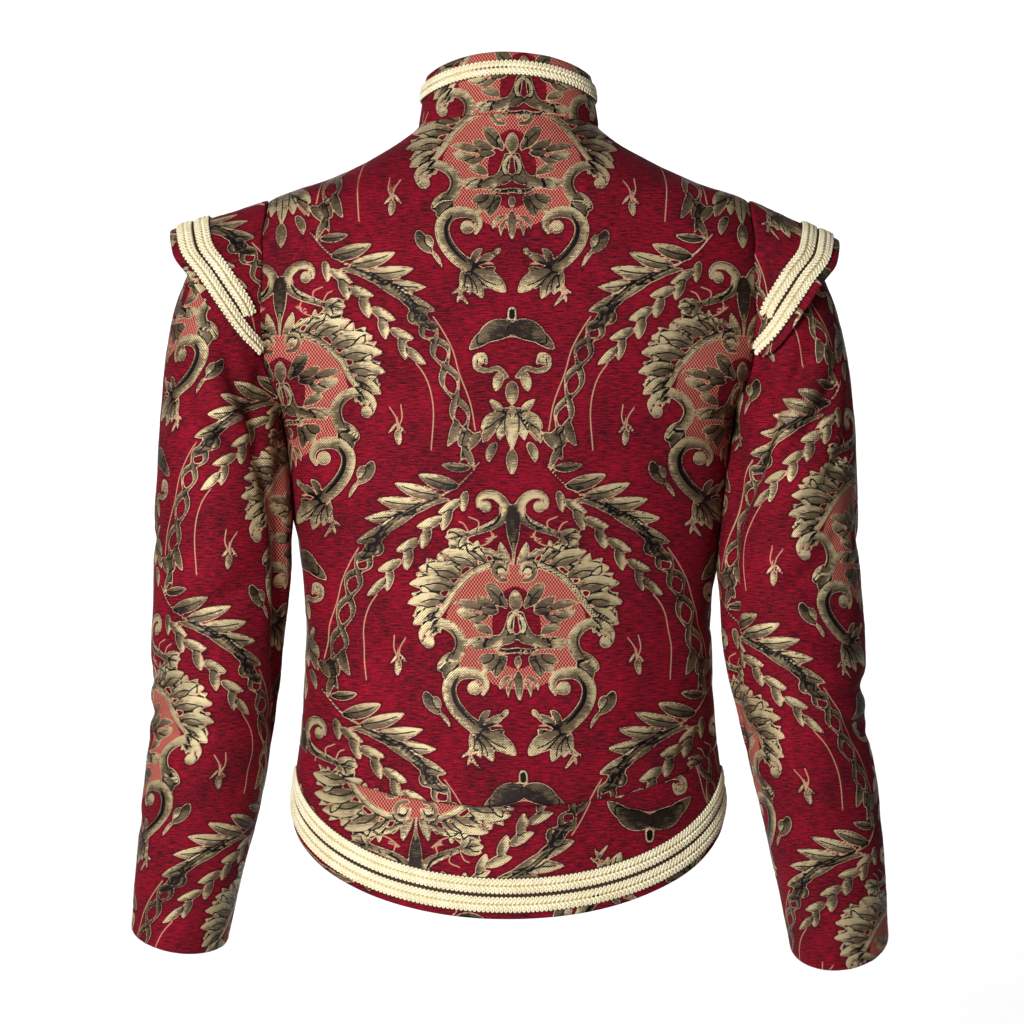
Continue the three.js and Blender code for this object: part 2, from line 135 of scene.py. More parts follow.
floor = sweep_floor()

# %% [markdown]
# ## Writing a finish as sums
# A cloth finish is arithmetic on places: how far across the repeat, how near an outline. Each
# number that changes over the cloth is a `Thread`, and sums on threads add the Math nodes.

# %% Threads and looms
class Thread:
    """One value of a material, on which sums can be done."""

    def __init__(self, loom, socket):
        self.loom, self.socket = loom, socket

    def _sum(self, operation, *others, swap=False):
        values = [self, *others]
        if swap:
            values.reverse()
        return self.loom.node("ShaderNodeMath", {"operation": operation}, values)

    def __add__(self, other): return self._sum("ADD", other)
    def __radd__(self, other): return self._sum("ADD", other)
    def __sub__(self, other): return self._sum("SUBTRACT", other)
    def __rsub__(self, other): return self._sum("SUBTRACT", other, swap=True)
    def __mul__(self, other): return self._sum("MULTIPLY", other)
    def __rmul__(self, other): return self._sum("MULTIPLY", other)
    def __truediv__(self, other): return self._sum("DIVIDE", other)
    def __gt__(self, other): return self._sum("GREATER_THAN", other)
    def __lt__(self, other): return self._sum("LESS_THAN", other)
    def __abs__(self): return self._sum("ABSOLUTE")
    def least(self, other): return self._sum("MINIMUM", other)
    def most(self, other): return self._sum("MAXIMUM", other)
    def wave(self): return self._sum("SINE")
    def part(self): return self._sum("FRACT")

    def ease(self, low, high, start=0.0, end=1.0):
        """start below low, end above high, and smooth between them."""
        settings = {"interpolation_type": "SMOOTHSTEP", "clamp": True}
        return self.loom.node("ShaderNodeMapRange", settings, [self, low, high, start, end])


class Loom:
    """Builds one material, or fills a tree that is given."""

    def __init__(self, name="", tree=None):
        if tree is None:
            self.material = bpy.data.materials.new(name)
            self.material.use_nodes = True
            tree = self.material.node_tree
            tree.nodes.clear()
        self.tree = tree

    def node(self, kind, settings=None, values=(), output=0):
        """Adds a node: its settings first, then a value or a link for each socket."""
        made = self.tree.nodes.new(kind)
        for key, value in (settings or {}).items():
            setattr(made, key, value)
        pairs = values.items() if isinstance(values, dict) else enumerate(values)
        for key, value in pairs:
            if isinstance(value, Thread):
                self.tree.links.new(value.socket, made.inputs[key])
            elif value is not None:
                made.inputs[key].default_value = value
        return Thread(self, made.outputs[output] if made.outputs else None)

    def attribute(self, name, output="Fac"):
        return self.node("ShaderNodeAttribute", {"attribute_name": name}, output=output)

    def place(self):
        return self.node("ShaderNodeTexCoord", output="Object")

    def cloth(self):
        return self.node("ShaderNodeUVMap", {"uv_map": "cloth"})

    def parts(self, vector):
        """The three numbers of a place."""
        split = self.node("ShaderNodeSeparateXYZ", {}, [vector]).socket.node
        return [Thread(self, socket) for socket in split.outputs]

    def stretched(self, vector, scale):
        return self.node("ShaderNodeMapping", {}, {"Vector": vector, "Scale": scale})

    def noise(self, vector, scale, detail=2.0, rough=0.5):
        values = {"Vector": vector, "Scale": scale, "Detail": detail, "Roughness": rough}
        return self.node("ShaderNodeTexNoise", {"noise_dimensions": "3D"}, values)

    def blend(self, share, low, high):
        """Two colours, mixed by a share."""
        settings = {"data_type": "RGBA", "blend_type": "MIX", "clamp_factor": True}
        return self.node("ShaderNodeMix", settings, {0: share, 6: low, 7: high}, output=2)

    def bump(self, height, distance, strength=1.0):
        return self.node("ShaderNodeBump", {},
                         {"Height": height, "Distance": distance, "Strength": strength})

    def finish(self, values):
        """Ends the material with a Principled shader that has these values."""
        shader = self.node("ShaderNodeBsdfPrincipled", {}, values)
        self.node("ShaderNodeOutputMaterial", {}, {"Surface": shader})
        return self.material


def dye(red, green, blue):
    """A colour given as it is read from a dyer's card, as the linear values that shaders use."""
    def linear(v):
        v /= 255
        return v / 12.92 if v <= 0.04045 else ((v + 0.055) / 1.055) ** 2.4
    return (linear(red), linear(green), linear(blue), 1.0)


# %% Studio paper
paper = Loom("studio_paper")
mottle = paper.noise(paper.place(), 3.0)
floor.data.materials.append(paper.finish({
    "Base Color": paper.blend(mottle, (0.58, 0.58, 0.58, 1), (0.62, 0.62, 0.62, 1)),
    "Roughness": 0.9,
}))

# %% [markdown]
# ## Charting the damask
# A damask is drawn on point paper: one repeat, in which each square says which thread lies on top.
# This one is a baroque ogee design of the kind that mills have woven for four hundred years. A
# cartouche with acanthus sides stands over scrolls, plumes arch over it, and interlaced ribbons
# tie it to the next column, half a repeat lower. Everything is drawn for the right of one axis,
# from leaves and strokes with a formula of their own, and the chart mirrors it.
#
# The chart keeps distances to the outlines, not colours. A distance changes evenly between the
# points of the cloth, so that the edges stay sharp however the cloth is cut. A thin line is kept
# as a distance that changes its sign across the line, because a zero between two points is never
# missed, while a thin ridge would be. So the strokes take their signs in turn.

# %% Point paper
REPEAT_HALF, REPEAT_HIGH = 192.0, 378.0  # half the width, and the height, of one repeat
SQUARE = 0.6
ACROSS = int(round(REPEAT_HALF / SQUARE)) + 1
DOWN = int(round(REPEAT_HIGH / SQUARE))
FAR = 6.0  # distances are kept up to this far from an outline
PAPER_X, PAPER_Y = np.meshgrid(np.arange(ACROSS) * SQUARE, np.arange(DOWN) * SQUARE)
chart = {
    "mass": np.full((DOWN, ACROSS), -FAR),  # how far inside the figure
    "stroke": np.full((DOWN, ACROSS), FAR),  # how far from the edge of a stroke, signed
    "tone": np.zeros((DOWN, ACROSS)),  # from olive, 0, to pale gold, 1
    "mesh": np.full((DOWN, ACROSS), -FAR),  # how far inside the basket weave
    "line": np.full((DOWN, ACROSS), -FAR),  # how far inside a thin line
    "line_side": np.full((DOWN, ACROSS), FAR),  # how far to one side of its middle, signed
}
print("point paper:", ACROSS, "by", DOWN, "squares")


def to_stroke(points, radii, hand):
    """Window of the paper near a stroke, and there the depth inside it, the place along it and
    the side, which hand turns over."""
    reach = radii.max() + FAR
    low = np.maximum(np.floor((points.min(0) - reach) / SQUARE).astype(int), 0)
    high = np.minimum(np.ceil((points.max(0) + reach) / SQUARE).astype(int) + 1, (ACROSS, DOWN))
    if (high <= low).any():
        return None
    window = (slice(low[1], high[1]), slice(low[0], high[0]))
    x, y = PAPER_X[window], PAPER_Y[window]
    depth = np.full(x.shape, -1e9)
    along = np.zeros(x.shape)
    side = np.zeros(x.shape)
    count = len(points) - 1
    for i in range(count):
        (ax, ay), (bx, by) = points[i], points[i + 1]
        dx, dy = bx - ax, by - ay
        t = np.clip(((x - ax) * dx + (y - ay) * dy) / max(dx * dx + dy * dy, 1e-9), 0, 1)
        radius = radii[i] + (radii[i + 1] - radii[i]) * t
        here = radius - np.hypot(x - ax - t * dx, y - ay - t * dy)
        better = here > depth
        depth = np.where(better, here, depth)
        along = np.where(better, (i + t) / count, along)
        cross = (dx * (y - ay) - dy * (x - ax)) / math.hypot(dx, dy)
        side = np.where(better, hand * cross / np.maximum(radius, 0.5), side)
    return window, depth, along, side


def strokes(points, radii):
    """The stroke in each place of the repeat that reaches the paper."""
    for flip in (1, -1):
        for column in (0, 1):
            x = flip * points[:, 0]
            moved = np.column_stack([REPEAT_HALF - x if column else x,
                                     points[:, 1] + column * REPEAT_HIGH / 2])
            hand = -1 if (flip < 0) != (column > 0) else 1
            for turn in (-2, -1, 0, 1, 2):
                found = to_stroke(moved + (0, turn * REPEAT_HIGH), radii, hand)
                if found:
                    yield found


stroke_signs = itertools.cycle((-1, 1))


def weave_stroke(points, radii, tones=(0.5, 0.5), turn=0.0):
    """Adds a stroke of the figure. turn makes one side of it lighter than the other."""
    sign = next(stroke_signs)
    for window, depth, along, side in strokes(points, radii):
        tone = tones[0] + (tones[1] - tones[0]) * along + turn * np.clip(side, -1, 1)
        over = depth > 0
        before = chart["stroke"][window]
        near = np.copysign(np.minimum(np.abs(before), np.abs(depth)), before)
        chart["stroke"][window] = np.where(over, sign * depth, near)
        chart["mass"][window] = np.maximum(chart["mass"][window], depth)
        chart["tone"][window] = np.where(over, tone, chart["tone"][window])


def draw_layer(layer, points, radii):
    """Adds a stroke to one layer alone."""
    for window, depth, _, _ in strokes(points, radii):
        chart[layer][window] = np.maximum(chart[layer][window], depth)


def draw_line(points, radii):
    """A thin line: dark where it lies in the figure, pale where it lies on the ground."""
    for window, depth, along, side in strokes(points, radii):
        away = np.interp(along, np.linspace(0, 1, len(radii)), radii) - depth
        nearer = away < np.abs(chart["line_side"][window])
        chart["line_side"][window] = np.where(nearer, np.copysign(away, side),
                                              chart["line_side"][window])
        chart["line"][window] = np.maximum(chart["line"][window], depth)


# %% Leaves, stems and lines
def unit_of(way):
    return way / np.hypot(*way)


def flowing(points, count=26):
    """A smooth curve through a few points."""
    p = np.array(points, float)
    p = np.vstack([2 * p[0] - p[1], p, 2 * p[-1] - p[-2]])
    places = np.linspace(0, len(points) - 1, count)
    i = np.minimum(places.astype(int), len(points) - 2)
    t = (places - i)[:, None]
    a, b, c, d = p[i], p[i + 1], p[i + 2], p[i + 3]
    return 0.5 * (2 * b + (c - a) * t + (2 * a - 5 * b + 4 * c - d) * t ** 2
                  + (3 * b - a - 3 * c + d) * t ** 3)


def leaf(points, wide, bow=0.0, root_tone=0.3, tip_tone=0.8, blunt=0.8, turn=0.12):
    """A leaf from its root to its tip. bow bends it to its left, as a share of its length."""
    root, tip = points
    way = tip - root
    middle = (root + tip) / 2 + bow * np.array([-way[1], way[0]])
    t = np.linspace(0, 1, 15)[:, None]
    line = (1 - t) ** 2 * root + 2 * t * (1 - t) * middle + t ** 2 * tip
    t = t[:, 0]
    radii = wide * (np.sin(math.pi * t ** blunt) ** 0.8 + 0.16 * (1 - t))
    weave_stroke(line, np.maximum(radii, 0.15), (root_tone, tip_tone), turn)


def stem(points, start, end, tone=0.4, end_tone=0.4, bulge=0.0, turn=0.15, count=26):
    """A stroke through points, whose half width runs from start to end with a bulge between."""
    line = flowing(points, int(count))
    t = np.linspace(0, 1, len(line))
    half = start + (end - start) * t + bulge * np.sin(math.pi * t)
    weave_stroke(line, half, (tone, end_tone), turn)


LINE_POINTS = 18


def hair(points):
    draw_line(flowing(points, LINE_POINTS), np.full(LINE_POINTS, 0.4))


def vein(points, half=0.55):
    t = np.linspace(0.02, 0.98, LINE_POINTS)
    draw_line(flowing(points, LINE_POINTS), half * (0.35 + 0.65 * np.sin(math.pi * t) ** 0.5))


def volute(points, knob, *numbers):
    """A scroll: a stem that curls round to a knob, whose middle is the first point."""
    stem(points[1:], *numbers)
    weave_stroke(points[0] + np.array([(0, 0), (0.2, 0)]), np.full(2, knob), (0.78, 0.78), 0.25)


def lobe(points, wide):
    """A lobe of acanthus: a leaf with two teeth at each side and a dark rib."""
    root, tip = points
    way = tip - root
    side = np.array([-way[1], way[0]])
    for share, out, size in ((0.6, 0.42, 0.4), (0.88, 0.26, 0.36), (0.56, -0.42, 0.4),
                             (0.86, -0.26, 0.36)):
        tooth = (root + 0.3 * way, root + share * way + out * side)
        leaf(tooth, wide * size, 0.0, 0.4, 0.95, 0.9)
    leaf(points, wide * 0.66, 0.1, 0.4, 0.95, 0.9, 0.2)
    vein([root + 0.12 * way, root + 0.36 * way + 0.05 * side, root + 0.62 * way], 0.7)


def quill(points, wide, root_tone, tip_tone):
    """A long leaf of a plume, with its vein."""
    leaf(points, wide, -0.08, root_tone, tip_tone, 0.9, 0.3)
    root, tip = points
    way = tip - root
    vein([root + 0.1 * way, root + 0.45 * way - (0, 1.5), root + 0.8 * way - (0, 1.0)])


MOTIFS = {"leaf": leaf, "stem": stem, "hair": hair, "vein": vein, "volute": volute,
          "lobe": lobe, "quill": quill}


def draw(card):
    """Draws a card. A row names its motif, then come its numbers and, after a bar, its points."""
    for row in card.strip().replace("\n   ", " ").splitlines():
        (motif, *numbers), points = (part.split() for part in row.split("|"))
        MOTIFS[motif](np.array(points, float).reshape(-1, 2), *map(float, numbers))


# %% The mesh ground of the cartouche
# A ground of another weave fills the shield between the acanthus sides and the scrolls.
MESH_SIDE = flowing([(6, 46), (20, 46), (35, 38.5), (46, 27), (54, 14), (57, 3), (49, -3),
                     (42, -14), (45, -26), (50, -38), (40, -41), (28, -44), (14, -50)], 90)
BARE_HALF, BARE_MIDDLE, BARE_HIGH = 21, -3, 36  # round the flower the ground stays plain
for half, y in MESH_SIDE:
    inner = BARE_HALF * math.sqrt(max(0.0, 1 - ((y - BARE_MIDDLE) / BARE_HIGH) ** 2))
    draw_layer("mesh", np.array([(inner + 2, y), (half - 3, y)], float), np.array([3.0, 3.0]))

# %% Flowers inside the cartouche, and then a bell flower with an open oval in it
draw("""
leaf 3.6 .2 .3 .75 1 | 26 11  52 17
leaf 4 -.2 .5 .9 1.1 | 30 8  49 12
leaf 3 -.3 .3 .7 1 | 22 10  40 4
leaf 5.6 .2 .2 .62 1.1 | 12 15  24 33
leaf 3.8 -.1 .26 .6 1.1 | 15 14  33 23
leaf 3.2 -.2 .2 .5 1 | 14 11  30 13
leaf 2.6 0 .3 .6 | 8 13  12 25
leaf 5 | 0 13  0 28
leaf 4.2 -.16 .5 .85 1 | 22 -12  43 -14
leaf 4 .2 .3 .8 1.1 | 20 -8  36 -2
leaf 4 .1 .4 .8 1 | 18 -14  38 -20
leaf 4.6 .2 .4 .7 | 10 -14  28 -18
leaf 5.2 .3 .25 .55 .9 | 10 -27  18 -44
leaf 5.2 .24 .4 .75 .9 | 16 -26  27 -40
leaf 3.6 .1 .3 .6 1 | 20 -26  33 -31
leaf 2 .4 .3 .85 1 | 4 -42  16 -55
leaf 1.8 .3 .3 .85 1 | 3 -44  9 -60
leaf 3.4 0 .2 .9 | 0 -38  0 -64
leaf 2.8 0 .3 .9 | 0 -27  0 -36
stem 2.6 3.9 .6 .55 1 -.3 | 4 8  5.5 0  9 -9  17 -15  22 -17
stem 1.6 1.6 .85 .7 .6 | 0 10  5 4  6 -4  0 -11
leaf 3.4 .1 .3 .5 1 | 0 -10  12 -16
stem 1.4 1.4 .9 .9 .8 | -17 -20  -9 -22  0 -21  9 -22  17 -20
leaf 1.3 0 .8 .5 | 2 -20  3 -25
leaf 1.3 0 .8 .5 | 6 -20  7 -25
leaf 1.3 0 .8 .5 | 10 -20  11 -25
leaf 1.3 0 .8 .5 | 14 -20  15 -25
vein .6 | 10 16  14 22  20 28
vein .6 | 12 -28  17 -33  19 -40
""")

# %% Acanthus sides of the cartouche
RIB = np.array([(8, 46), (20, 49), (36, 41.5), (49, 29), (59, 14), (69, 1)])
draw("""
leaf 3.4 -.15 .5 .9 1 | 3 49  11 68
leaf 3 -.2 .4 .8 1 | 7 48  19 63
stem 1.6 2.4 .6 .85 1.6 .3 | 12 55  24 60  34 58  42 60  50 62
lobe 6.4 | 22 51  46 66
lobe 8.6 | 30 48  60 60
lobe 9.4 | 44 40  79 46
lobe 9.2 | 50 31  87 33
lobe 8.6 | 57 20  89 17
lobe 7.8 | 61 12  85 -1
lobe 5.6 | 64 6  74 -11
""")
stem(RIB, 2.9, 1.8, 0.6, 0.85, 0.8, -0.2)
vein(RIB[1:] + (1.8, 2.2), 0.75)
vein(RIB[1:] - (1.6, 2.0), 0.65)
draw("""
volute 3.6 1.6 2 .7 .4 .4 .2 30 | 10.5 43  5 42  8 49  15 49  17 43  13 37  7 36
vein .7 | 12 47.5  15 43  12 39
""")

# %% Scrolls round the cartouche
draw("""
leaf 6.4 -.15 .4 .85 1 | 50 -24  66 -37
leaf 5.6 .1 .35 .8 1 | 50 -30  58 -43
volute 4.9 1.5 4.6 .9 .4 1.6 -.22 44 | 72.5 -15  77.5 -15  78.5 -8  73 -1.5  64 1.4  54 -2.2
     47.3 -9.5  46.2 -18  50.5 -27  56 -34  58 -41
vein .6 | 53 -5  49.5 -11  49.5 -18  53 -25
stem 1 1.4 .9 .9 | 50 -30  58 -31  64 -36
volute 5.7 1.4 5.2 .85 .35 2.4 .3 56 | 36.5 -52.3  30 -57.5  26.8 -50.5  30 -43  38.5 -39.8
     50 -41.5  57 -51  55 -64  46 -76.5  34 -86  24 -93
vein 1.7 | 49.5 -43.5  54 -52  52.5 -63  46 -73  38 -81
leaf 3 -.3 .15 .6 1.1 | 32 -84  24 -70
leaf 3.4 -.1 .2 .85 1.1 | 30 -85  12 -74
leaf 3 .1 .1 .4 1.1 | 28 -90  13 -86
leaf 4.6 -.2 .4 .9 1.1 | 34 -90  17 -104
leaf 6.2 -.12 .35 .95 1.1 | 32 -88  5 -107
leaf 4.6 -.08 .3 .9 1.1 | 37 -90  24 -112
leaf 3.4 -.05 .3 .9 1.1 | 40 -90  34 -109
leaf 2.4 -.05 .4 .9 1.1 | 41 -88  41 -103
leaf 2.4 0 .6 .9 1.1 | 14 -75  10 -70
vein 1.5 | 32 -86  24 -82  16 -83
vein .7 | 33 -89  22 -97  13 -101
vein .6 | 36 -92  30 -100  28 -107
""")

# %% Plumes that arch over the cartouche
PLUME_POINTS = 60
PLUME = flowing([(26, 133), (40, 117), (57, 106), (76, 98), (95, 87), (109, 74), (118, 60)],
                PLUME_POINTS)
draw("""
quill 3.6 .2 .6 | 34 128  58 131
quill 5.6 .2 .75 | 44 113  77 123
quill 5.2 .35 .95 | 59 105  97 116
quill 5.2 .4 1 | 73 98  112 103
quill 5 .35 .95 | 86 91  122 87
quill 5.2 .2 .65 | 99 81  130 67
quill 4.8 .15 .5 | 108 74  130 50
leaf 3 .06 .4 .9 1 .2 | 66 97  112 79
leaf 3 .06 .4 .9 1 .2 | 80 90  118 68
leaf 2.6 .06 .4 .9 1 .2 | 50 103  90 91
""")
weave_stroke(PLUME, np.linspace(0.6, 1.7, PLUME_POINTS), (0.6, 0.4), 0.2)
FEATHER = flowing([(38, 109), (46, 98), (57, 88), (69, 78), (80, 67), (90, 55), (100, 45),
                   (108, 34), (113, 18)], PLUME_POINTS)
for step, place in enumerate(np.linspace(0.0, 0.86, 10)):
    i = int(place * (PLUME_POINTS - 1))
    way = unit_of(FEATHER[min(i + 3, PLUME_POINTS - 1)] - FEATHER[max(i - 1, 0)])
    hand = 1 if step % 2 else -1
    side = np.array([-way[1], way[0]]) * hand
    root = FEATHER[i] + side * 0.6
    wide = 2.4 + 1.7 * math.sin(math.pi * (0.2 + 0.7 * place))
    leaf((root, root + way * (18 + 2 * hand) + side * 7.4), wide, -0.1 * hand,
         0.4 + 0.1 * hand, 0.95, 0.8, 0.3)

# %% Interlaced ribbons
# Two ribbons cross five times on the way from the plume to the next column.
RIBBON_SWING, RIBBON_TURNS, RIBBON_POINTS = 6.4, 2.6, 80
RIBBON_PATH = flowing([(112, 66), (122, 54), (132, 38), (140, 14), (149, -14), (156, -40)],
                      RIBBON_POINTS)
ribbon_way = np.gradient(RIBBON_PATH, axis=0)
ribbon_way /= np.hypot(*ribbon_way.T)[:, None]
ribbon_side = np.column_stack([-ribbon_way[:, 1], ribbon_way[:, 0]])
for phase in (0, math.pi):
    s = np.linspace(0, 1, RIBBON_POINTS)
    swing = RIBBON_SWING * np.sin(FULL_TURN * RIBBON_TURNS * s + phase + 0.6)
    ribbon = RIBBON_PATH + swing[:, None] * ribbon_side
    weave_stroke(ribbon, 2.1 + 0.8 * np.cos(2 * FULL_TURN * RIBBON_TURNS * s), (0.3, 0.5), 0.35)
draw("""
hair | 128 62  136 50  144 34  149 16  158 -8  162 -30
hair | 114 24  121 14  126 0  128 -18  126 -46
leaf 3.8 .15 .25 .6 | 147 -22  139 -44
leaf 3.6 .1 .2 .55 | 157 -30  150 -56
leaf 3 .1 .25 .65 | 152 -44  161 -62
""")

# %% Figure on top of the cartouche
draw("""
volute 4.8 1.4 1.8 .9 .5 2.5 .3 52 | 21.8 96.5  28 96  27.6 102  22.5 106.4  13.8 105.5  7 99
     6 91  12 84  22 79  33 75  42 71
vein 1.2 | 10.5 95  10.5 89  15 82.5  24 78.5
leaf 3.2 .1 .4 .95 | 38 73  55 76
leaf 3.4 -.1 .4 .95 | 41 71  54 66
leaf 2.4 .1 .4 .9 | 38 72  45 62
leaf 3 .1 .5 .95 | 46 72  56 71
vein .6 | 42 72  48 71  52 70
hair | 30 76  28 84  36 88
hair | 36 74  40 82  44 84
hair | 14 72  22 66  34 62
hair | 20 80  17 72  22 70
leaf 5.4 0 .15 .35 | 0 98  0 58
stem 2 .8 .6 .9 | 0 66  0 56  0 48
""")

# %% Small pieces between
draw("""
leaf 4.6 .2 .1 .6 | 77 -56  64 -74
leaf 3.2 -.1 .4 .9 | 70 -60  66 -70
leaf 1.7 -.1 .5 .9 | 66 -72  57 -86
leaf 1.2 .1 .6 .95 | 42 -104  50 -109
leaf 1.3 0 .6 .95 | 43 -108  42 -98
leaf 1.3 .1 .6 .95 | 43 -106  33 -119
leaf 1.3 0 .6 .95 | 42 -107  45 -116
leaf 1.3 0 .6 .95 | 41 -106  36 -102
leaf 2.7 0 .5 .95 | 98 -30  100 -43
leaf 1.1 .1 .8 .95 | 97 -24  90 -33
leaf 1.1 -.1 .8 .95 | 99 -25  106 -33
""")
# under the cartouche: an oval, a pair of broad leaves, curls and a cluster of leaves
draw("""
leaf 5.2 .1 .2 .5 | 14 -139  35 -154
leaf 8 .3 .1 .36 | -1 -137  28 -149
leaf 5 0 .35 | 0 -181  0 -199
leaf 4 .1 .5 .9 | 9 -173  13 -188
leaf 4.6 .2 .25 .65 | 2 -202  24 -231
leaf 3.2 .1 .4 .95 | 8 -206  19 -194
leaf 4.4 .25 .4 .85 | 7 -207  25 -219
leaf 3.8 .1 .25 .7 | 26 -222  36 -236
leaf 4.4 .1 .4 .95 | 5 -206  10 -228
leaf 5.4 0 .6 .95 | 0 -200  0 -236
leaf 3.6 .2 | 13 -230  19 -246
leaf 4.4 0 .35 .95 | 0 -236  0 -256
vein .5 | 0 -143  12 -145  26 -150
vein .6 | 0 -204  0 -216  0 -230
vein .6 | 4 -206  12 -212  22 -219
vein .6 | 4 -206  12 -218  20 -228
""")
weave_stroke(np.array([(0, -122.0), (0, -127.0)]), np.array([3.4, 3.8]), (0.95, 0.95))
draw_line(np.array([(0, -122.4), (0, -126.6)]), np.array([2.3, 2.6]))
draw("""
volute 3 1.3 1.6 .8 .5 .8 .2 34 | 25 -163  20.5 -165  23 -158  29.5 -160  29 -168  21 -171
     11 -169  4 -176
hair | 98 -30  97 -20  92 -12
hair | 98 -30  102 -20  101 -10
""")
for layer in ("mass", "mesh", "line"):
    print(layer, "covers", round(float((chart[layer] > 0).mean()), 3))

# %% [markdown]
# ## The forms under the cloth
# A tailor's stand gives the garment its shape. Here the stand is a set of level sections that a
# smooth curve joins, one set for the body and one for each arm. These are the same tables that the
# plain pattern was cut from, so that the fine cloth lies just where its wall does.

# %% Reading a table of sections
def hermite(t, start, end, leave, arrive):
    return ((2 * t ** 3 - 3 * t ** 2 + 1) * start + (t ** 3 - 2 * t ** 2 + t) * leave
            + (3 * t ** 2 - 2 * t ** 3) * end + (t ** 3 - t ** 2) * arrive)


def smooth_column(places, values):
    """A smooth curve through values, with no overshoot."""
    places, values = np.array(places, float), np.array(values, float)
    spans = np.diff(places)
    slopes = np.diff(values) / spans
    product = slopes[:-1] * slopes[1:]
    total = slopes[:-1] + slopes[1:]
    inner = np.where(product > 0, 2 * product / np.where(total == 0, 1, total), 0)
    tangents = np.concatenate([slopes[:1], inner, slopes[-1:]])

    def at(where):
        where = np.asarray(where, float)
        i = np.clip(np.searchsorted(places, where) - 1, 0, len(spans) - 1)
        t = np.clip((where - places[i]) / spans[i], 0, 1)
        return hermite(t, values[i], values[i + 1], spans[i] * tangents[i],
                       spans[i] * tangents[i + 1])
    return at


def rows_of(text):
    """Rows of numbers, which a table in text parts with slashes."""
    return [tuple(map(float, row.split())) for row in text.split("/")]


def read_table(names, text, by=None):
    """One smooth reader for each named column, by the values of one column or by row number."""
    columns = dict(zip(names.split(), zip(*rows_of(text))))
    places = columns[by] if by else range(len(next(iter(columns.values()))))
    return {name: smooth_column(places, values) for name, values in columns.items()}


# %% The body form
body = read_table("z half_width side back front power", """
    -720 190 -8 120 -128 2.15 / -640 188 -8 119 -127 2.15 / -577 184 -8 114 -123 2.15 /
    -500 175 -8 104 -118 2.15 / -419 173 -8 98 -117 2.15 / -323 182 -8 107 -124 2.2 /
    -250 189 -8 113 -125 2.3 / -205 213 -6 113 -120 2.6 / -155 223 -4 109 -109 2.7 /
    -105 219 -2 100 -93 2.7 / -65 204 0 88 -77 2.3 / -46 154 0 82 -70 2.1 /
    -29 118 0 75 -63 2 / -12 90 0 68 -56 2 / 0 76.5 0 63.5 -52 2 / 14 73 0 60 -50 2
""", by="z")
HEM = dict(side=-577, back=-81, front=-81, blend=0.06)
WAIST = dict(side=-523, back=-44, front=-44, blend=0.35)
NECK = dict(side=0, back=4, front=-38, blend=1.2)
ARMHOLE = dict(top=-65, under=-248, back=60, front=64, round=0.92)
RIM = dict(side=42, back=15, front=-24, blend=0.8)
RIM_HALF, RIM_BACK, RIM_FRONT = 70.5, 51, -64
SEAM = 0.3
OPENING = 0.6
LEFT, RIGHT = 1, -1
HANDS = {"left": LEFT, "right": RIGHT}


def points_of(x, y, z):
    return np.stack(np.broadcast_arrays(x, y, z), axis=-1).astype(float)


def body_point(angle, z):
    """On the body: 0 is the centre back, and the angle runs over the left side to the front."""
    far = np.where(np.cos(angle) >= 0, body["back"](z), body["front"](z))
    side, power = body["side"](z), body["power"](z)
    across = np.minimum(1, np.abs(np.sin(angle)))
    depth = (1 - across ** power) ** (1 / power)
    return points_of(body["half_width"](z) * np.sin(angle), side + (far - side) * depth, z)


def edge_height(edge, angle):
    c = np.cos(angle)
    blend = edge["blend"]
    rounded = (np.hypot(c, blend) - blend) / (math.hypot(1, blend) - blend)
    return edge["side"] + rounded * np.where(c >= 0, edge["back"], edge["front"])


def angle_at_depth(z, y, facing):
    side, power = body["side"](z), body["power"](z)
    far = body["back"](z) if facing > 0 else body["front"](z)
    depth = np.clip(y / np.abs(far - side), 0, 1)
    return np.arcsin((1 - depth ** power) ** (1 / power))


def armhole_height(clock):
    top, under = ARMHOLE["top"], ARMHOLE["under"]
    return (top + under) / 2 + (top - under) / 2 * np.cos(clock)


def armhole_depth(clock):
    s = np.sin(clock)
    return np.where(s > 0, ARMHOLE["back"], ARMHOLE["front"]) * np.abs(s) ** ARMHOLE["round"]


def armhole_point(clock):
    z = armhole_height(clock)
    depth = armhole_depth(clock)
    behind = body_point(angle_at_depth(z, depth, 1), z)
    before = body_point(math.pi - angle_at_depth(z, depth, -1), z)
    return np.where((np.sin(clock) >= 0)[..., None], behind, before)


def unit(v):
    return v / np.linalg.norm(v, axis=-1, keepdims=True)


# %% The sleeve forms
ARM_COLUMNS = "x y z across through"
arm = {
    LEFT: read_table(ARM_COLUMNS, """
        241.5 14 -300 55.5 70 / 241.5 16 -368 58 67 / 246 14 -436 55.5 62 / 251 4 -504 53.5 58 /
        262.5 -11 -572 50.5 54 / 275 -28 -640 45 49 / 283.5 -41 -690 42 46"""),
    RIGHT: read_table(ARM_COLUMNS, """
        240.5 14 -300 54.5 70 / 237.5 16 -368 58.5 67 / 241.5 14 -436 60 63 / 251 4 -504 54 59 /
        265 -11 -572 51 55 / 277.5 -31 -640 46.5 50 / 287 -58 -700 43 46"""),
}
ARM_ROWS = 6  # spans between the sections of an arm
HEAD_OUT_TOP = {LEFT: 295, RIGHT: 255}
HEAD_OUT_UNDER, HEAD_DOWN_TOP, HEAD_DOWN_UNDER = 26, 250, 50
HEAD_SLOPE_TOP, HEAD_SLOPE_UNDER, HEAD_LEAN = 19, 20, 0.3
SLEEVE_START = 0.4
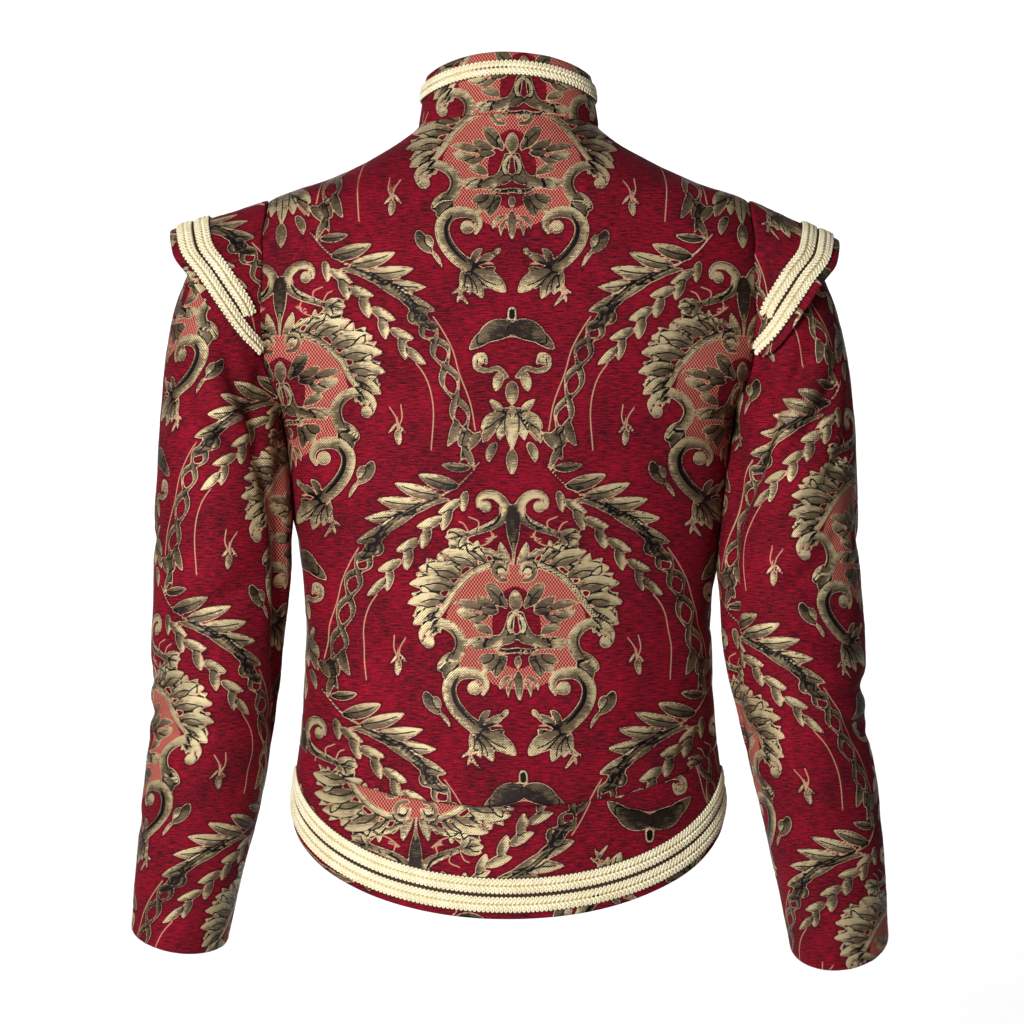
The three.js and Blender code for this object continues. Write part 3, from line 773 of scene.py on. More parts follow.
# each fold: clock, down, slant, long, wide, deep
FOLDS = {
    LEFT: rows_of("""112 84 -38 95 26 3.2 / 40 205 14 80 22 2.6 / 150 228 -12 70 22 2.8 /
                     -95 196 8 110 26 4 / -70 110 30 90 26 3"""),
    RIGHT: rows_of("""100 70 -42 120 25 3.8 / 72 128 -36 95 24 3.2 / 35 214 12 85 22 3 /
                      -88 204 -10 105 26 4 / -110 120 -30 90 26 3"""),
}


def by_slant(slant, across, along):
    """A place measured lengthwise and sideways from a line that slants by some degrees."""
    c, s = math.cos(math.radians(slant)), math.sin(math.radians(slant))
    return across * c + along * s, along * c - across * s


def fold_depth(hand, clock, at):
    down = arm[hand]["z"](0) - arm[hand]["z"](at)
    depth = 0
    for place, low, slant, long, wide, deep in FOLDS[hand]:
        nearest = (clock - math.radians(place) + math.pi) % FULL_TURN - math.pi
        lengthwise, sideways = by_slant(slant, nearest * arm[hand]["through"](at), down - low)
        depth = depth + deep * np.exp(-(2 * lengthwise / long) ** 2 - (2 * sideways / wide) ** 2)
    return depth


def arm_centre(hand, at):
    return points_of(arm[hand]["x"](at), arm[hand]["y"](at), arm[hand]["z"](at))


def arm_point(hand, clock, at):
    reach = 0.02
    down = unit(arm_centre(hand, at + reach) - arm_centre(hand, at - reach))
    out = unit(points_of(-down[..., 2], 0, down[..., 0]))
    behind = np.cross(out, down)
    trough = fold_depth(hand, clock, at)
    across = ((arm[hand]["across"](at) - trough) * np.cos(clock))[..., None]
    through = ((arm[hand]["through"](at) - trough) * np.sin(clock))[..., None]
    return arm_centre(hand, at) + across * out + through * behind


def head_direction(clock):
    top = (1 + np.cos(clock)) / 2
    slope = np.radians(HEAD_SLOPE_UNDER + (HEAD_SLOPE_TOP - HEAD_SLOPE_UNDER) * top)
    return unit(points_of(np.cos(slope), HEAD_LEAN * np.sin(clock), -np.sin(slope)))


def head_point(hand, clock, t):
    top = ((1 + np.cos(clock)) / 2) ** 2
    far = HEAD_OUT_UNDER + (HEAD_OUT_TOP[hand] - HEAD_OUT_UNDER) * top
    end = arm_point(hand, clock, np.zeros_like(clock))
    arrive = unit(arm_point(hand, clock, np.full_like(clock, 0.05)) - end)
    arrive = arrive * (HEAD_DOWN_UNDER + (HEAD_DOWN_TOP - HEAD_DOWN_UNDER) * top)[..., None]
    start = armhole_point(clock) + SLEEVE_START * head_direction(clock)
    return hermite(t[..., None], start, end, head_direction(clock) * far[..., None], arrive)


def sleeve_point(hand, clock, v):
    head = head_point(hand, clock, np.minimum(v, 1))
    tube = arm_point(hand, clock, np.maximum(v - 1, 0) * ARM_ROWS)
    return np.where((v < 1)[..., None], head, tube)


# %% The wing and collar forms
WING_END = 110
wing = read_table("clock out drop spread", """
    0 79 25 0 / 22 78 22 5 / 45 72 19 11 / 68 53 16 16 / 86 32 18 17 / 98 18 17 16 / 110 5 10 11
""", by="clock")
WING_REACH = {LEFT: 1.0, RIGHT: 0.92}
WING_SAG = {LEFT: 0, RIGHT: 8}
WING_START, WING_LIFT = 2, 0.6


def wing_point(hand, degrees, t):
    near, turn = np.abs(degrees), np.radians(degrees)
    seam = armhole_point(turn) + WING_START * head_direction(turn)
    out = WING_REACH[hand] * wing["out"](near)
    drop = wing["drop"](near) + WING_SAG[hand] * wing["out"](near) / wing["out"](0)
    reach = points_of(out, wing["spread"](near) * np.sign(degrees), -drop)
    return seam + reach * t[..., None]


def collar_point(angle, t):
    foot = body_point(angle, edge_height(NECK, angle)) + (0, 0, SEAM / 2)
    c = np.cos(angle)
    rim = points_of(RIM_HALF * np.sin(angle), np.where(c >= 0, RIM_BACK, -RIM_FRONT) * c,
                    edge_height(RIM, angle))
    return foot + (rim - foot) * t[..., None]


# %% [markdown]
# ## Where the sleeves rest
# Empty sleeves hang against the sides of the body as far down as the ribs. The plain pattern
# leaves a little room there, so the cloth of the side and of the sleeve each fill half of it.

# %% Room between side and sleeve
REST_TOP, REST_EASE = -222, 24
REST_FOOT = {LEFT: -352, RIGHT: -396}
REST_PRESS = 1.4  # how much further than the room the cloths lean on each other
REST_ARMPIT, REST_ARMPIT_AT, REST_ARMPIT_HIGH = 5.2, -268, 40  # more of it under the arm
REST_ROUND = 34  # how far over the side the fullness spreads
ARM_STEP = 68  # height from one section of an arm to the next


def resting(hand, z):
    """How far each of the two cloths moves over to the other at a height."""
    at = np.clip((float(arm[hand]["z"](0)) - z) / ARM_STEP, 0, ARM_ROWS)
    room = arm[hand]["x"](at) - arm[hand]["across"](at) - body["half_width"](z)
    ease_in = np.clip((REST_TOP - z) / REST_EASE, 0, 1)
    ease_out = np.clip((z - REST_FOOT[hand]) / REST_EASE, 0, 1)
    share = ease_in ** 2 * (3 - 2 * ease_in) * ease_out ** 2 * (3 - 2 * ease_out)
    armpit = REST_ARMPIT * np.exp(-((z - REST_ARMPIT_AT) / REST_ARMPIT_HIGH) ** 2)
    return share * (np.maximum(room, 0) + REST_PRESS + armpit) / 2


for hand in HANDS.values():
    print("rest:", resting(hand, np.array([-240.0, -300.0, -340.0, -380.0])).round(1))

# %% [markdown]
# ## Laying the cloth
# Each panel is a close grid of points, two threads of the pattern apart, so that every outline of
# the damask has points to lie on. Its back is a sparse copy moved in by the thickness of the
# cloth, and a rim turns the edge over. Where the close grid meets the sparse one, the sparse
# faces take in the close points of the rim, so the shell has no gap.

# %% Grids and shells
THICK = 1.5
STRIDE = 4  # points of the outer face for each point of the inner one


def whole(count):
    """The nearest number of spans that the sparse side divides."""
    return max(STRIDE, int(round(count / STRIDE)) * STRIDE)


def normals_of(grid, around=False):
    if around:
        wrapped = np.concatenate([grid[:, -1:], grid, grid[:, :1]], axis=1)
        along_columns = np.gradient(wrapped, axis=1)[:, 1:-1]
    else:
        along_columns = np.gradient(grid, axis=1)
    return unit(np.cross(np.gradient(grid, axis=0), along_columns))


def shell(grid, normals, thick, around=False):
    """A closed thin wall: a close outer face, a sparse inner one and a rim. With its points and
    faces comes the outer point that each point lies on or under."""
    rows, columns = grid.shape[:2]
    spans = columns if around else columns - 1
    outer = np.arange(rows * columns).reshape(rows, columns)
    keep = np.zeros((rows, columns), bool)
    keep[::STRIDE, ::STRIDE] = True
    keep[0] = keep[-1] = True
    if not around:
        keep[:, 0] = keep[:, -1] = True
    inner = np.full((rows, columns), -1)
    inner[keep] = rows * columns + np.arange(keep.sum())
    points = np.vstack([grid.reshape(-1, 3), (grid - thick * normals)[keep]])
    j = np.arange(spans)
    k = (j + 1) % columns
    quads = np.stack([outer[:-1][:, j], outer[:-1][:, k], outer[1:][:, k], outer[1:][:, j]], -1)
    faces = quads.reshape(-1, 4)[:, ::-1].tolist()
    inside = []
    for a in range(0, rows - 1, STRIDE):
        b = a + STRIDE
        for c in range(0, spans, STRIDE):
            low = [inner[a, (c + s) % columns] for s in range(STRIDE + 1)]
            high = [inner[b, (c + s) % columns] for s in range(STRIDE + 1)]
            left = [inner[a + s, c] for s in range(STRIDE + 1)]
            right = [inner[a + s, (c + STRIDE) % columns] for s in range(STRIDE + 1)]
            ring = low + right[1:] + high[::-1][1:] + left[::-1][1:-1]
            inside.append([int(p) for p in ring if p >= 0])
    rim = []
    for p, q in zip(j, k):
        rim.append((outer[0, p], inner[0, p], inner[0, q], outer[0, q]))
        rim.append((outer[-1, q], inner[-1, q], inner[-1, p], outer[-1, p]))
    if not around:
        for i in range(rows - 1):
            rim.append((outer[i + 1, 0], inner[i + 1, 0], inner[i, 0], outer[i, 0]))
            rim.append((outer[i, -1], inner[i, -1], inner[i + 1, -1], outer[i + 1, -1]))
    rim = [tuple(int(p) for p in face)[::-1] for face in rim]
    return points, faces, rim, inside, np.concatenate([outer.ravel(), np.flatnonzero(keep)])


def place(name, points, faces):
    """A mesh of points in millimetres, as an object at the origin."""
    form = bpy.data.meshes.new(name)
    form.from_pydata((np.asarray(points) * MM).tolist(), [], faces)
    form.update()
    form.shade_smooth()
    return stand(name, form)


def map_cloth(form, u, v, under):
    """The UV map: where each point lies on the flat cloth, in metres."""
    uv = np.column_stack([u.ravel(), v.ravel()])[under] * MM
    corner = np.zeros(len(form.loops), np.int32)
    form.loops.foreach_get("vertex_index", corner)
    form.uv_layers.new(name="cloth").data.foreach_set("uv", uv[corner].astype(np.float32).ravel())


# %% [markdown]
# ## Placing the chart on a piece
# A cutter lays the pattern on the woven length and looks for the best place. Here each piece has
# its own place on the chart: where the axis of a column falls, at which height a cartouche stands,
# and whether the cloth lies upside down, as it does in the basque.

# %% Reading the chart
def read_chart(layer, x, y):
    """The chart at places on the cloth, between its squares."""
    x = np.abs((x + REPEAT_HALF) % (2 * REPEAT_HALF) - REPEAT_HALF) / SQUARE
    y = (y % REPEAT_HIGH) / SQUARE
    i, j = np.minimum(x.astype(int), ACROSS - 2), y.astype(int) % DOWN
    s, t = x - i, y - np.floor(y)
    values = chart[layer]
    low = values[j, i] * (1 - s) + values[j, i + 1] * s
    up = (j + 1) % DOWN
    high = values[up, i] * (1 - s) + values[up, i + 1] * s
    return low * (1 - t) + high * t


def spans_of(grid, axis):
    return np.linalg.norm(np.diff(grid, axis=axis), axis=-1)


def added_up(steps, axis):
    first = np.zeros_like(np.take(steps, [0], axis=axis))
    return np.concatenate([first, np.cumsum(steps, axis=axis)], axis=axis)


def run_along(grid, axis, start=0):
    """The length of cloth along rows or columns of a grid, which is 0 at index start."""
    run = added_up(spans_of(grid, axis), axis)
    return run - np.take(run, [start], axis=axis)


def cloth_across(grid, start, least=0.65):
    """The cloth used across a panel. Where it turns away to the side, it is eased in."""
    steps = spans_of(grid, 1)
    level = np.abs(np.diff(grid[..., 0], axis=1))
    run = added_up(steps * np.clip(level / np.maximum(steps, 1e-6), least, 1), 1)
    return run - run[:, start:start + 1]


def from_edges(grid, around=False):
    """How far each point lies from the nearest sewn or turned edge of its panel."""
    def near(axis):
        run = run_along(grid, axis)
        return np.minimum(run, np.take(run, [-1], axis=axis) - run)
    return near(0) if around else np.minimum(near(0), near(1))


def pressed_in(u, v, creases):
    """Soft troughs and, beside each, the little ridge that the cloth throws up.
    Each crease: its place u, v, then its slant, how long, wide and deep it is."""
    depth = 0.0
    for across, high, slant, long, wide, deep in creases:
        lengthwise, sideways = by_slant(slant, u - across, v - high)
        s = (sideways - 0.18 * lengthwise ** 2 / long) / wide
        trough = np.exp(-(2 * lengthwise / long) ** 2 - (2 * s) ** 2)
        depth = depth + deep * (1 - 1.1 * s) * trough
    return depth


def unevenness(u, v):
    """The gentle waves that worn cloth keeps."""
    return (0.5 * np.sin(u / 31 + 1.3) * np.sin(v / 47 + 0.4) + 0.35 * np.sin(u / 17 - v / 29 + 2)
            + 0.25 * np.sin(u / 9.5 + v / 23) * np.sin(v / 13))


SEAM_DIP, SEAM_ROLL = 0.45, 1.5  # how deep cloth turns in at an edge, and over what distance
CREASING = 2.2  # makes all creases deeper together
LIFT_OF_FIGURE = 0.28  # the floats of the figure stand this much proud of the ground
SLEEVE_SINK = 0.3  # a sleeve lies this much closer to its form, so that the wing clears it
pieces = {}


def lay_cloth(name, grid, u, v, axis=0.0, centre=0.0, turned=False, creases=(), around=False,
              raise_by=0.0):
    """One panel of damask over its form, with the chart, its creases and its rolled edges."""
    normals = normals_of(grid, around)
    x, y = u - axis, v - centre
    if turned:
        x, y = -x, -y
    layers = {key: read_chart(key, x, y) for key in chart}
    dip = SEAM_DIP * np.exp(-(from_edges(grid, around) / SEAM_ROLL) ** 2)
    figure = LIFT_OF_FIGURE * np.clip(layers["mass"] + 0.5, 0, 1)
    move = raise_by - dip - CREASING * pressed_in(u, v, creases) + unevenness(u, v) + figure
    if around:
        move = move - SLEEVE_SINK
    laid = grid + move[..., None] * normals
    points, outer, rim, inside, under = shell(laid, normals, THICK, around)
    made = place(name, points, outer + rim + inside)
    form = made.data
    for key, values in layers.items():
        flat = values.ravel()[under].astype(np.float32)
        form.attributes.new(key, "FLOAT", "POINT").data.foreach_set("value", flat)
    map_cloth(form, u, v, under)
    side = np.ones(len(form.polygons), np.int32)
    side[:len(outer) + len(rim)] = 0
    form.materials.append(damask)
    form.materials.append(reverse)
    form.polygons.foreach_set("material_index", side)
    pieces[name] = made
    print(name, 2 * len(form.polygons), "triangles")


# %% [markdown]
# ## The finish of the damask
# The ground is chenille: soft weft slubs that lie across the cloth and take the light unevenly.
# The figure is satin floats in taupe that lighten to pale gold, hatched where the binding threads
# cross. A cream thread outlines it, and the shields of the cartouches are a coral basket weave.

# %% Damask
HATCH, BASKET_ACROSS, BASKET_UP = 2.1, 2.6, 1.8  # millimetres from line to line


def weave_damask():
    loom = Loom("damask")
    cloth = loom.cloth()
    u, v, _ = loom.parts(cloth)
    u, v = u / MM, v / MM
    mass, stroke, tone, mesh, line, line_side = (loom.attribute(name) for name in chart)
    slub = loom.noise(loom.stretched(cloth, (110, 1050, 1)), 1.0, 3.0, 0.6)
    pick = loom.noise(loom.stretched(cloth, (420, 1900, 1)), 1.0, 2.0, 0.6)
    patch = loom.noise(cloth, 22.0, 2.0)
    fleck = loom.noise(loom.stretched(cloth, (240, 1300, 1)), 1.3, 2.0, 0.7)
    wear = loom.noise(cloth, 130.0, 3.0, 0.6)

    # the ground, darkened beside the figure by painted shade so that the figure stands out
    dyed = (slub * 0.62 + pick * 0.3 + patch * 0.16).ease(0.42, 0.7)
    ground = loom.blend(dyed, dye(36, 0, 6), dye(152, 0, 34))
    ground = loom.blend(fleck.ease(0.56, 0.74) * 0.4, ground, dye(190, 22, 62))
    # painted shade: the ground turns dark wine near the edge of the figure
    beside = (0 - mass).ease(0.3, 2.4, 0.7, 0.0)
    ground = loom.blend(beside, ground, dye(52, 0, 12))

    # the basket weave of the shields
    dash = (u + v * 0.75) * (FULL_TURN / BASKET_ACROSS) + (v * (FULL_TURN / BASKET_UP)).wave() * 1.5
    basket = loom.blend(dash.wave().ease(0.05, 1.0), dye(126, 4, 28), dye(206, 142, 116))
    ground = loom.blend(mesh.ease(-0.3, 0.3), ground, basket)

    # the satin of the figure: olive, taupe and pale gold, hatched by the binding threads
    hatch = ((u + v) * (FULL_TURN / HATCH) + pick * 2).wave()
    worn = tone + (slub - 0.5) * 0.8 + (patch - 0.5) * 0.5 + (wear - 0.5) * 0.6
    worn = worn + (fleck - 0.5) * 0.5
    satin = loom.blend(worn.ease(0.16, 0.42), dye(24, 20, 18), dye(94, 80, 60))
    satin = loom.blend(worn.ease(0.5, 0.9), satin, dye(220, 202, 156))
    lines = hatch.ease(-0.1, 0.8) * worn.ease(0.35, 0.75, 0.2, 0.78)
    satin = loom.blend(lines, satin, dye(88, 56, 42))
    drawn = abs(line_side).ease(0.35, 0.7, 1.0, 0.0) * line.ease(-1.3, -0.7)
    drawn = drawn.most(line.ease(-0.1, 0.2))
    between = (abs(stroke).ease(0.35, 0.75, 1.0, 0.0) * mass.ease(0.4, 1.0)).most(drawn)
    satin = loom.blend(between, satin, dye(12, 5, 8))
    inside = mass.ease(0.2, 0.5)
    colour = loom.blend(inside, ground, satin)
    picot = abs(mass - 0.3).ease(0.15, 0.45, 1.0, 0.0) * (pick + patch * 0.5).ease(0.6, 0.9)
    picot = picot.most(drawn * (1 - inside) * 0.5)
    colour = loom.blend(picot, colour, dye(222, 178, 142))

    height = slub * 0.34 + pick * 0.26 + inside * (hatch * 0.05 + 0.1) - between * inside * 0.12
    return loom.finish({
        "Base Color": colour, "Roughness": 0.88 - inside * 0.36, "Metallic": inside * 0.4,
        "Normal": loom.bump(height, MM, 0.8), "Sheen Weight": 0.03, "Sheen Roughness": 0.4,
        "Sheen Tint": dye(255, 120, 140), "Specular IOR Level": 0.2,
    })


damask = weave_damask()

# %% Reverse of the cloth
back_loom = Loom("damask_reverse")
back_cloth = back_loom.cloth()
floats = back_loom.noise(back_loom.stretched(back_cloth, (160, 1500, 1)), 1.0, 3.0)
reverse = back_loom.finish({
    "Base Color": back_loom.blend(floats, dye(52, 6, 18), dye(104, 26, 36)),
    "Roughness": 0.9, "Normal": back_loom.bump(floats, MM * 0.4),
})

# %% [markdown]
# ## Back and fronts
# The back is one piece, cut on the fold, so its design mirrors down the middle. The fronts meet
# edge to edge. A panel runs from the waist seam up past the armhole to the neck seam, and its
# columns close up where the armhole cuts in. The creases lie where a worn back has them: drawn
# from the armholes, and across the small of the back.

# %% Panels
BACK_SPACE, FRONT_SPACE = 1.76, 2.2  # from point to point of a grid
BACK_WIDE, FRONT_WIDE, YOKE_LONG = 470, 250, 92
HOLE_ROUND = 1.25  # an armhole is this much longer than it is high


def panel_rows(space):
    """Heights and armhole clocks of the rows of a panel, as functions of the angle."""
    side = whole((ARMHOLE["under"] - WAIST["side"]) / space)
    hole = whole((ARMHOLE["top"] - ARMHOLE["under"]) * HOLE_ROUND / space)
    yoke = whole(YOKE_LONG / space)

    def waist(a): return edge_height(WAIST, a) + SEAM / 2
    def neck(a): return edge_height(NECK, a) - SEAM / 2
    rows = [(lambda a, t=t: waist(a) + (ARMHOLE["under"] - waist(a)) * t, None)
            for t in np.linspace(0, 1, side + 1)]
    for t in np.linspace(0, 1, hole + 1)[1:]:
        clock = math.pi * (1 - t)
        rows.append((lambda a, z=armhole_height(clock): np.full_like(a, z), clock))
    rows += [(lambda a, t=t: ARMHOLE["top"] + (neck(a) - ARMHOLE["top"]) * t, None)
             for t in np.linspace(0, 1, yoke + 1)[1:]]
    return rows


def panel_edge(height, clock, facing):
    depth = 0 if clock is None else abs(float(armhole_depth(facing * clock)))
    z = float(height(np.array(QUARTER)))
    return float(angle_at_depth(z, max(depth, SEAM / 2), facing))


def back_panel():
    columns = whole(BACK_WIDE / BACK_SPACE)
    s = np.linspace(-1, 1, columns + 1)
    rows = []
    for height, clock in panel_rows(BACK_SPACE):
        angle = s * panel_edge(height, clock, 1)
        rows.append(body_point(angle, height(angle)))
    return np.array(rows), columns // 2


def front_panel():
    columns = whole(FRONT_WIDE / FRONT_SPACE)
    s = np.linspace(0, 1, columns + 1)
    rows = []
    for height, clock in panel_rows(FRONT_SPACE):
        start = math.pi - panel_edge(height, clock, -1)
        z = float(height(np.array(math.pi)))
        end = math.pi - math.asin(OPENING / 2 / float(body["half_width"](z)))
        angle = start + (end - start) * s
        rows.append(body_point(angle, height(angle)))
    return np.array(rows), columns


def mirrored(grid):
    return (grid * (-1, 1, 1))[:, ::-1]


CARTOUCHE = -41.0  # a cartouche stands at this height on the back
BACK_AXIS = -3.0
SKEW_START, SKEW_HIGH, SKEW_ASIDE = -300, 250, 9.5  # the cloth lies a little askew near the waist
grid, centre_line = back_panel()
back_u, back_v = cloth_across(grid, centre_line), grid[..., 2]
skew = SKEW_ASIDE * np.clip((SKEW_START - back_v) / SKEW_HIGH, 0, 1.2) ** 1.3
from_side = back_u.max(axis=1, keepdims=True) - np.abs(back_u)
fullness = np.where(back_u > 0, resting(LEFT, back_v), resting(RIGHT, back_v))
fullness = fullness * np.exp(-(from_side / REST_ROUND) ** 2)
BACK_CREASES = rows_of("""
    -150 -215 34 90 22 1.5 / 152 -210 -34 95 22 1.5 / -165 -262 18 80 20 1.3 /
    168 -255 -20 80 20 1.4 / -150 -420 -6 110 24 1.2 / 155 -432 8 115 24 1.3 /
    -120 -492 -10 120 22 1.1 / 130 -486 8 110 22 1.0 / 0 -508 3 150 22 0.9 /
    60 -120 -20 110 30 0.9 / -70 -128 22 110 30 0.9""")
lay_cloth("back_cloth", grid, back_u + skew, back_v, BACK_AXIS, CARTOUCHE, creases=BACK_CREASES,
          raise_by=fullness)
grid, edge_line = front_panel()
front_u, front_v = cloth_across(grid, edge_line), grid[..., 2]
FRONT_CREASES = rows_of("""
    -150 -205 36 100 24 1.8 / -160 -262 20 90 22 1.4 / -120 -430 6 110 24 1.3 /
    -90 -492 -8 120 24 1.2 / -40 -350 82 170 30 0.9 / -70 -140 -28 100 28 1.1""")
near_side = np.exp(-((front_u - front_u[:, :1]) / REST_ROUND) ** 2)
lay_cloth("front_left_cloth", grid, front_u, front_v, 0, CARTOUCHE, creases=FRONT_CREASES,
          raise_by=resting(LEFT, front_v) * near_side)
RIGHT_CREASES = [(-x + 6, z + 7, -slant, *size) for x, z, slant, *size in FRONT_CREASES]
lay_cloth("front_right_cloth", mirrored(grid), -front_u[:, ::-1], front_v[:, ::-1], 0, CARTOUCHE,
          creases=RIGHT_CREASES, raise_by=(resting(RIGHT, front_v) * near_side)[:, ::-1])

# %% [markdown]
# ## Basque
# The short skirt below the waist is cut from what the length of cloth leaves, with the design
# upside down. Its hem dips behind and before, and two rows of braid follow it.

# %% Basque pieces
HEM_MARGIN, BRAID_WIDE, BRAID_SPACE = 5.0, 13.6, 1.4
STRIP_RADIUS = 100.0
BASQUE_SPACE, BASQUE_HIGH, BASQUE_BACK, BASQUE_FRONT = 1.7, 96, 520, 270


def edge_slant(edge, angle):
    step = 0.02
    a = body_point(angle - step, edge_height(edge, angle - step))
    b = body_point(angle + step, edge_height(edge, angle + step))
    level = np.hypot(a[..., 0] - b[..., 0], a[..., 1] - b[..., 1])
    return np.hypot(1, (a[..., 2] - b[..., 2]) / level)


def above_hem(angle, distance):
    return edge_height(HEM, angle) + distance * edge_slant(HEM, angle)


def strip_angles(start, end, count):
    def trim(a): return (SEAM if abs(a) < 2 else OPENING) / STRIP_RADIUS
    return np.linspace(start + trim(start), end - trim(end), count + 1)


def basque_panel(start, end, long, space):
    angle = strip_angles(start, end, whole(long / space))
    rows = []
    for t in np.linspace(0, 1, whole(BASQUE_HIGH / space) + 1):
        low, high = above_hem(angle, 0.0), edge_height(WAIST, angle) - SEAM / 2
        rows.append(body_point(angle, low + (high - low) * t))
    return np.array(rows)


BASQUE_AXIS, BASQUE_CENTRE = -116.0, -717.0
grid = basque_panel(-QUARTER, QUARTER, BASQUE_BACK, BASQUE_SPACE)
basque_u = cloth_across(grid, grid.shape[1] // 2)
lay_cloth("basque_back_cloth", grid, basque_u, grid[..., 2], BASQUE_AXIS, BASQUE_CENTRE, True,
          creases=rows_of("-70 -585 84 70 26 0.8 / 80 -590 96 70 26 0.8"))
grid = basque_panel(QUARTER, math.pi, BASQUE_FRONT, FRONT_SPACE)
front_basque_u = cloth_across(grid, grid.shape[1] - 1)
lay_cloth("basque_front_left_cloth", grid, front_basque_u, grid[..., 2], 90, BASQUE_CENTRE, True)
lay_cloth("basque_front_right_cloth", mirrored(grid), -front_basque_u[:, ::-1], grid[:, ::-1, 2],
          90, BASQUE_CENTRE, True)

# %% [markdown]
# ## Collar
# A standing collar, one strip cut a little curved. It meets edge to edge at the front.

# %% Collar piece
COLLAR_LONG, COLLAR_HIGH, COLLAR_SPACE = 400, 52, 1.6
angle = strip_angles(-math.pi, math.pi, whole(COLLAR_LONG / COLLAR_SPACE))
t = np.linspace(0, 1, whole(COLLAR_HIGH / COLLAR_SPACE) + 1)
grid = collar_point(*np.broadcast_arrays(angle, t[:, None]))
centre_back = len(angle) // 2
collar_u = run_along(grid, 1, centre_back)
collar_v = np.broadcast_to(grid[:, centre_back, 2][:, None], collar_u.shape)
lay_cloth("collar_cloth", grid, collar_u, collar_v, -13, 26,
          creases=rows_of("-30 20 80 50 16 0.5 / 44 22 100 50 16 0.5"))

# %% [markdown]
# ## Sleeves
# One piece goes round the arm and closes in a seam under it. The head rises over the shoulder
# point. A sleeve is never smooth: it breaks at the elbow, and cloth drags from the armpit.

# %% Sleeve pieces
SLEEVE_SPACE = 1.8
SLEEVE_HEAD_ROWS, SLEEVE_ARM_ROWS, SLEEVE_COLUMNS = whole(92), whole(400 / SLEEVE_SPACE), whole(208)
SLEEVE_BACK = int(SLEEVE_COLUMNS * 0.75)  # the column that faces straight back
SLEEVE_CLOCKS = -math.pi + FULL_TURN * np.arange(SLEEVE_COLUMNS) / SLEEVE_COLUMNS


def sleeve_grid(hand):
    v = np.concatenate([np.linspace(0, 1, SLEEVE_HEAD_ROWS + 1),
                        1 + np.linspace(0, 1, SLEEVE_ARM_ROWS + 1)[1:]])
    clock, v = np.broadcast_arrays(SLEEVE_CLOCKS, v[:, None])
    return sleeve_point(hand, clock, v)


def turned_round(values):
    """The columns of a closed sleeve in the other order, from the same seam."""
    return np.roll(values[:, ::-1], 1, axis=1)


def lay_sleeve(name, hand, axis, centre, creases):
    grid = sleeve_grid(hand)
    u = run_along(grid, 1, SLEEVE_BACK)
    u[:SLEEVE_HEAD_ROWS] = u[SLEEVE_HEAD_ROWS]
    v = float(arm[hand]["z"](0)) - run_along(grid, 0, SLEEVE_HEAD_ROWS)
    inward = np.clip(-np.cos(SLEEVE_CLOCKS), 0, 1)
    fullness = resting(hand, grid[..., 2]) * inward ** 3
    if hand == RIGHT:
        grid, u, v, fullness = map(turned_round, (grid * (-1, 1, 1), -u, v, fullness))
    lay_cloth(name, grid, u, v, axis, centre, creases=rows_of(creases), around=True,
              raise_by=fullness)


lay_sleeve("sleeve_left_cloth", LEFT, -82, -523, """
    20 -226 -52 100 19 3.4 / 46 -286 -76 120 19 3.6 / -4 -250 -46 80 16 2.2 /
    70 -390 -86 240 22 3.4 / 8 -398 20 90 18 1.6 / -40 -470 -10 90 18 2.0 /
    -62 -492 14 70 15 1.8 / -20 -515 8 90 18 1.3 / 50 -500 -16 80 18 1.5 /
    20 -610 -8 80 18 1.0 / -45 -590 10 70 16 1.2 / -120 -480 12 90 18 2.2 /
    -140 -520 -10 90 18 2.0 / -110 -360 30 90 22 1.6""")
lay_sleeve("sleeve_right_cloth", RIGHT, 80, -349, """
    -8 -226 47 100 17 3.6 / 14 -252 50 120 17 3.4 / -40 -284 70 120 18 3.8 /
    32 -290 54 90 16 2.6 / -68 -395 86 240 22 3.4 / 14 -372 44 90 18 1.8 /
    46 -480 10 90 18 2.0 / 60 -508 -12 70 15 1.8 / 0 -505 -6 90 18 1.3 /
    -54 -520 14 80 18 1.4 / 30 -600 8 80 18 1.0 / 120 -480 -12 90 18 2.2 /
    140 -520 10 90 18 2.0 / 110 -360 -30 90 22 1.6""")

# %% [markdown]
# ## Wings
# A wing is a crescent of stiffened cloth that stands out over the sleeve seam and hides it. It is
# widest on the shoulder, and runs out to nothing at the armpit.

# %% Wing pieces
WING_LONG, WING_WIDE, WING_SPACE = 300, 84, 1.7
WING_TUCK = 2.4  # the cloth reaches this much further in than the plain wing, to hide its seam
CUT_WALL, WING_SINK = 2.0, 0.4  # the wall of the plain pattern, and how far cloth sinks in it
WING_AXIS, WING_CENTRE = -56.0, 60.0


def wing_rows(hand, degrees, distances, nearest):
    """Points across a wing, each row a distance in from the free edge."""
    ones = np.ones_like(degrees)
    width = np.linalg.norm(wing_point(hand, degrees, ones) - wing_point(hand, degrees, 0 * ones),
                           axis=-1)
    return [wing_point(hand, degrees, np.maximum(nearest, 1 - d / width)) for d in distances]


for side, hand in HANDS.items():
    degrees = np.linspace(-WING_END, WING_END, whole(WING_LONG / WING_SPACE) + 1)
    t = np.linspace(0, 1, whole(WING_WIDE / WING_SPACE) + 1)
    grid = wing_point(hand, *np.broadcast_arrays(degrees, t[:, None]))
    to_seam = WING_TUCK * (1 - t[:, None, None]) ** 12 * head_direction(np.radians(degrees))
    grid = grid - to_seam
    u = run_along(grid, 0)
    v = np.broadcast_to(-np.abs(run_along(grid, 1, len(degrees) // 2)[len(t) // 2]), u.shape)
    if hand == RIGHT:
        grid, u, v = mirrored(grid), -u[:, ::-1], v[:, ::-1]
    lay_cloth(f"wing_{side}_cloth", grid, u, v, WING_AXIS, WING_CENTRE,
              raise_by=WING_LIFT + CUT_WALL - WING_SINK)

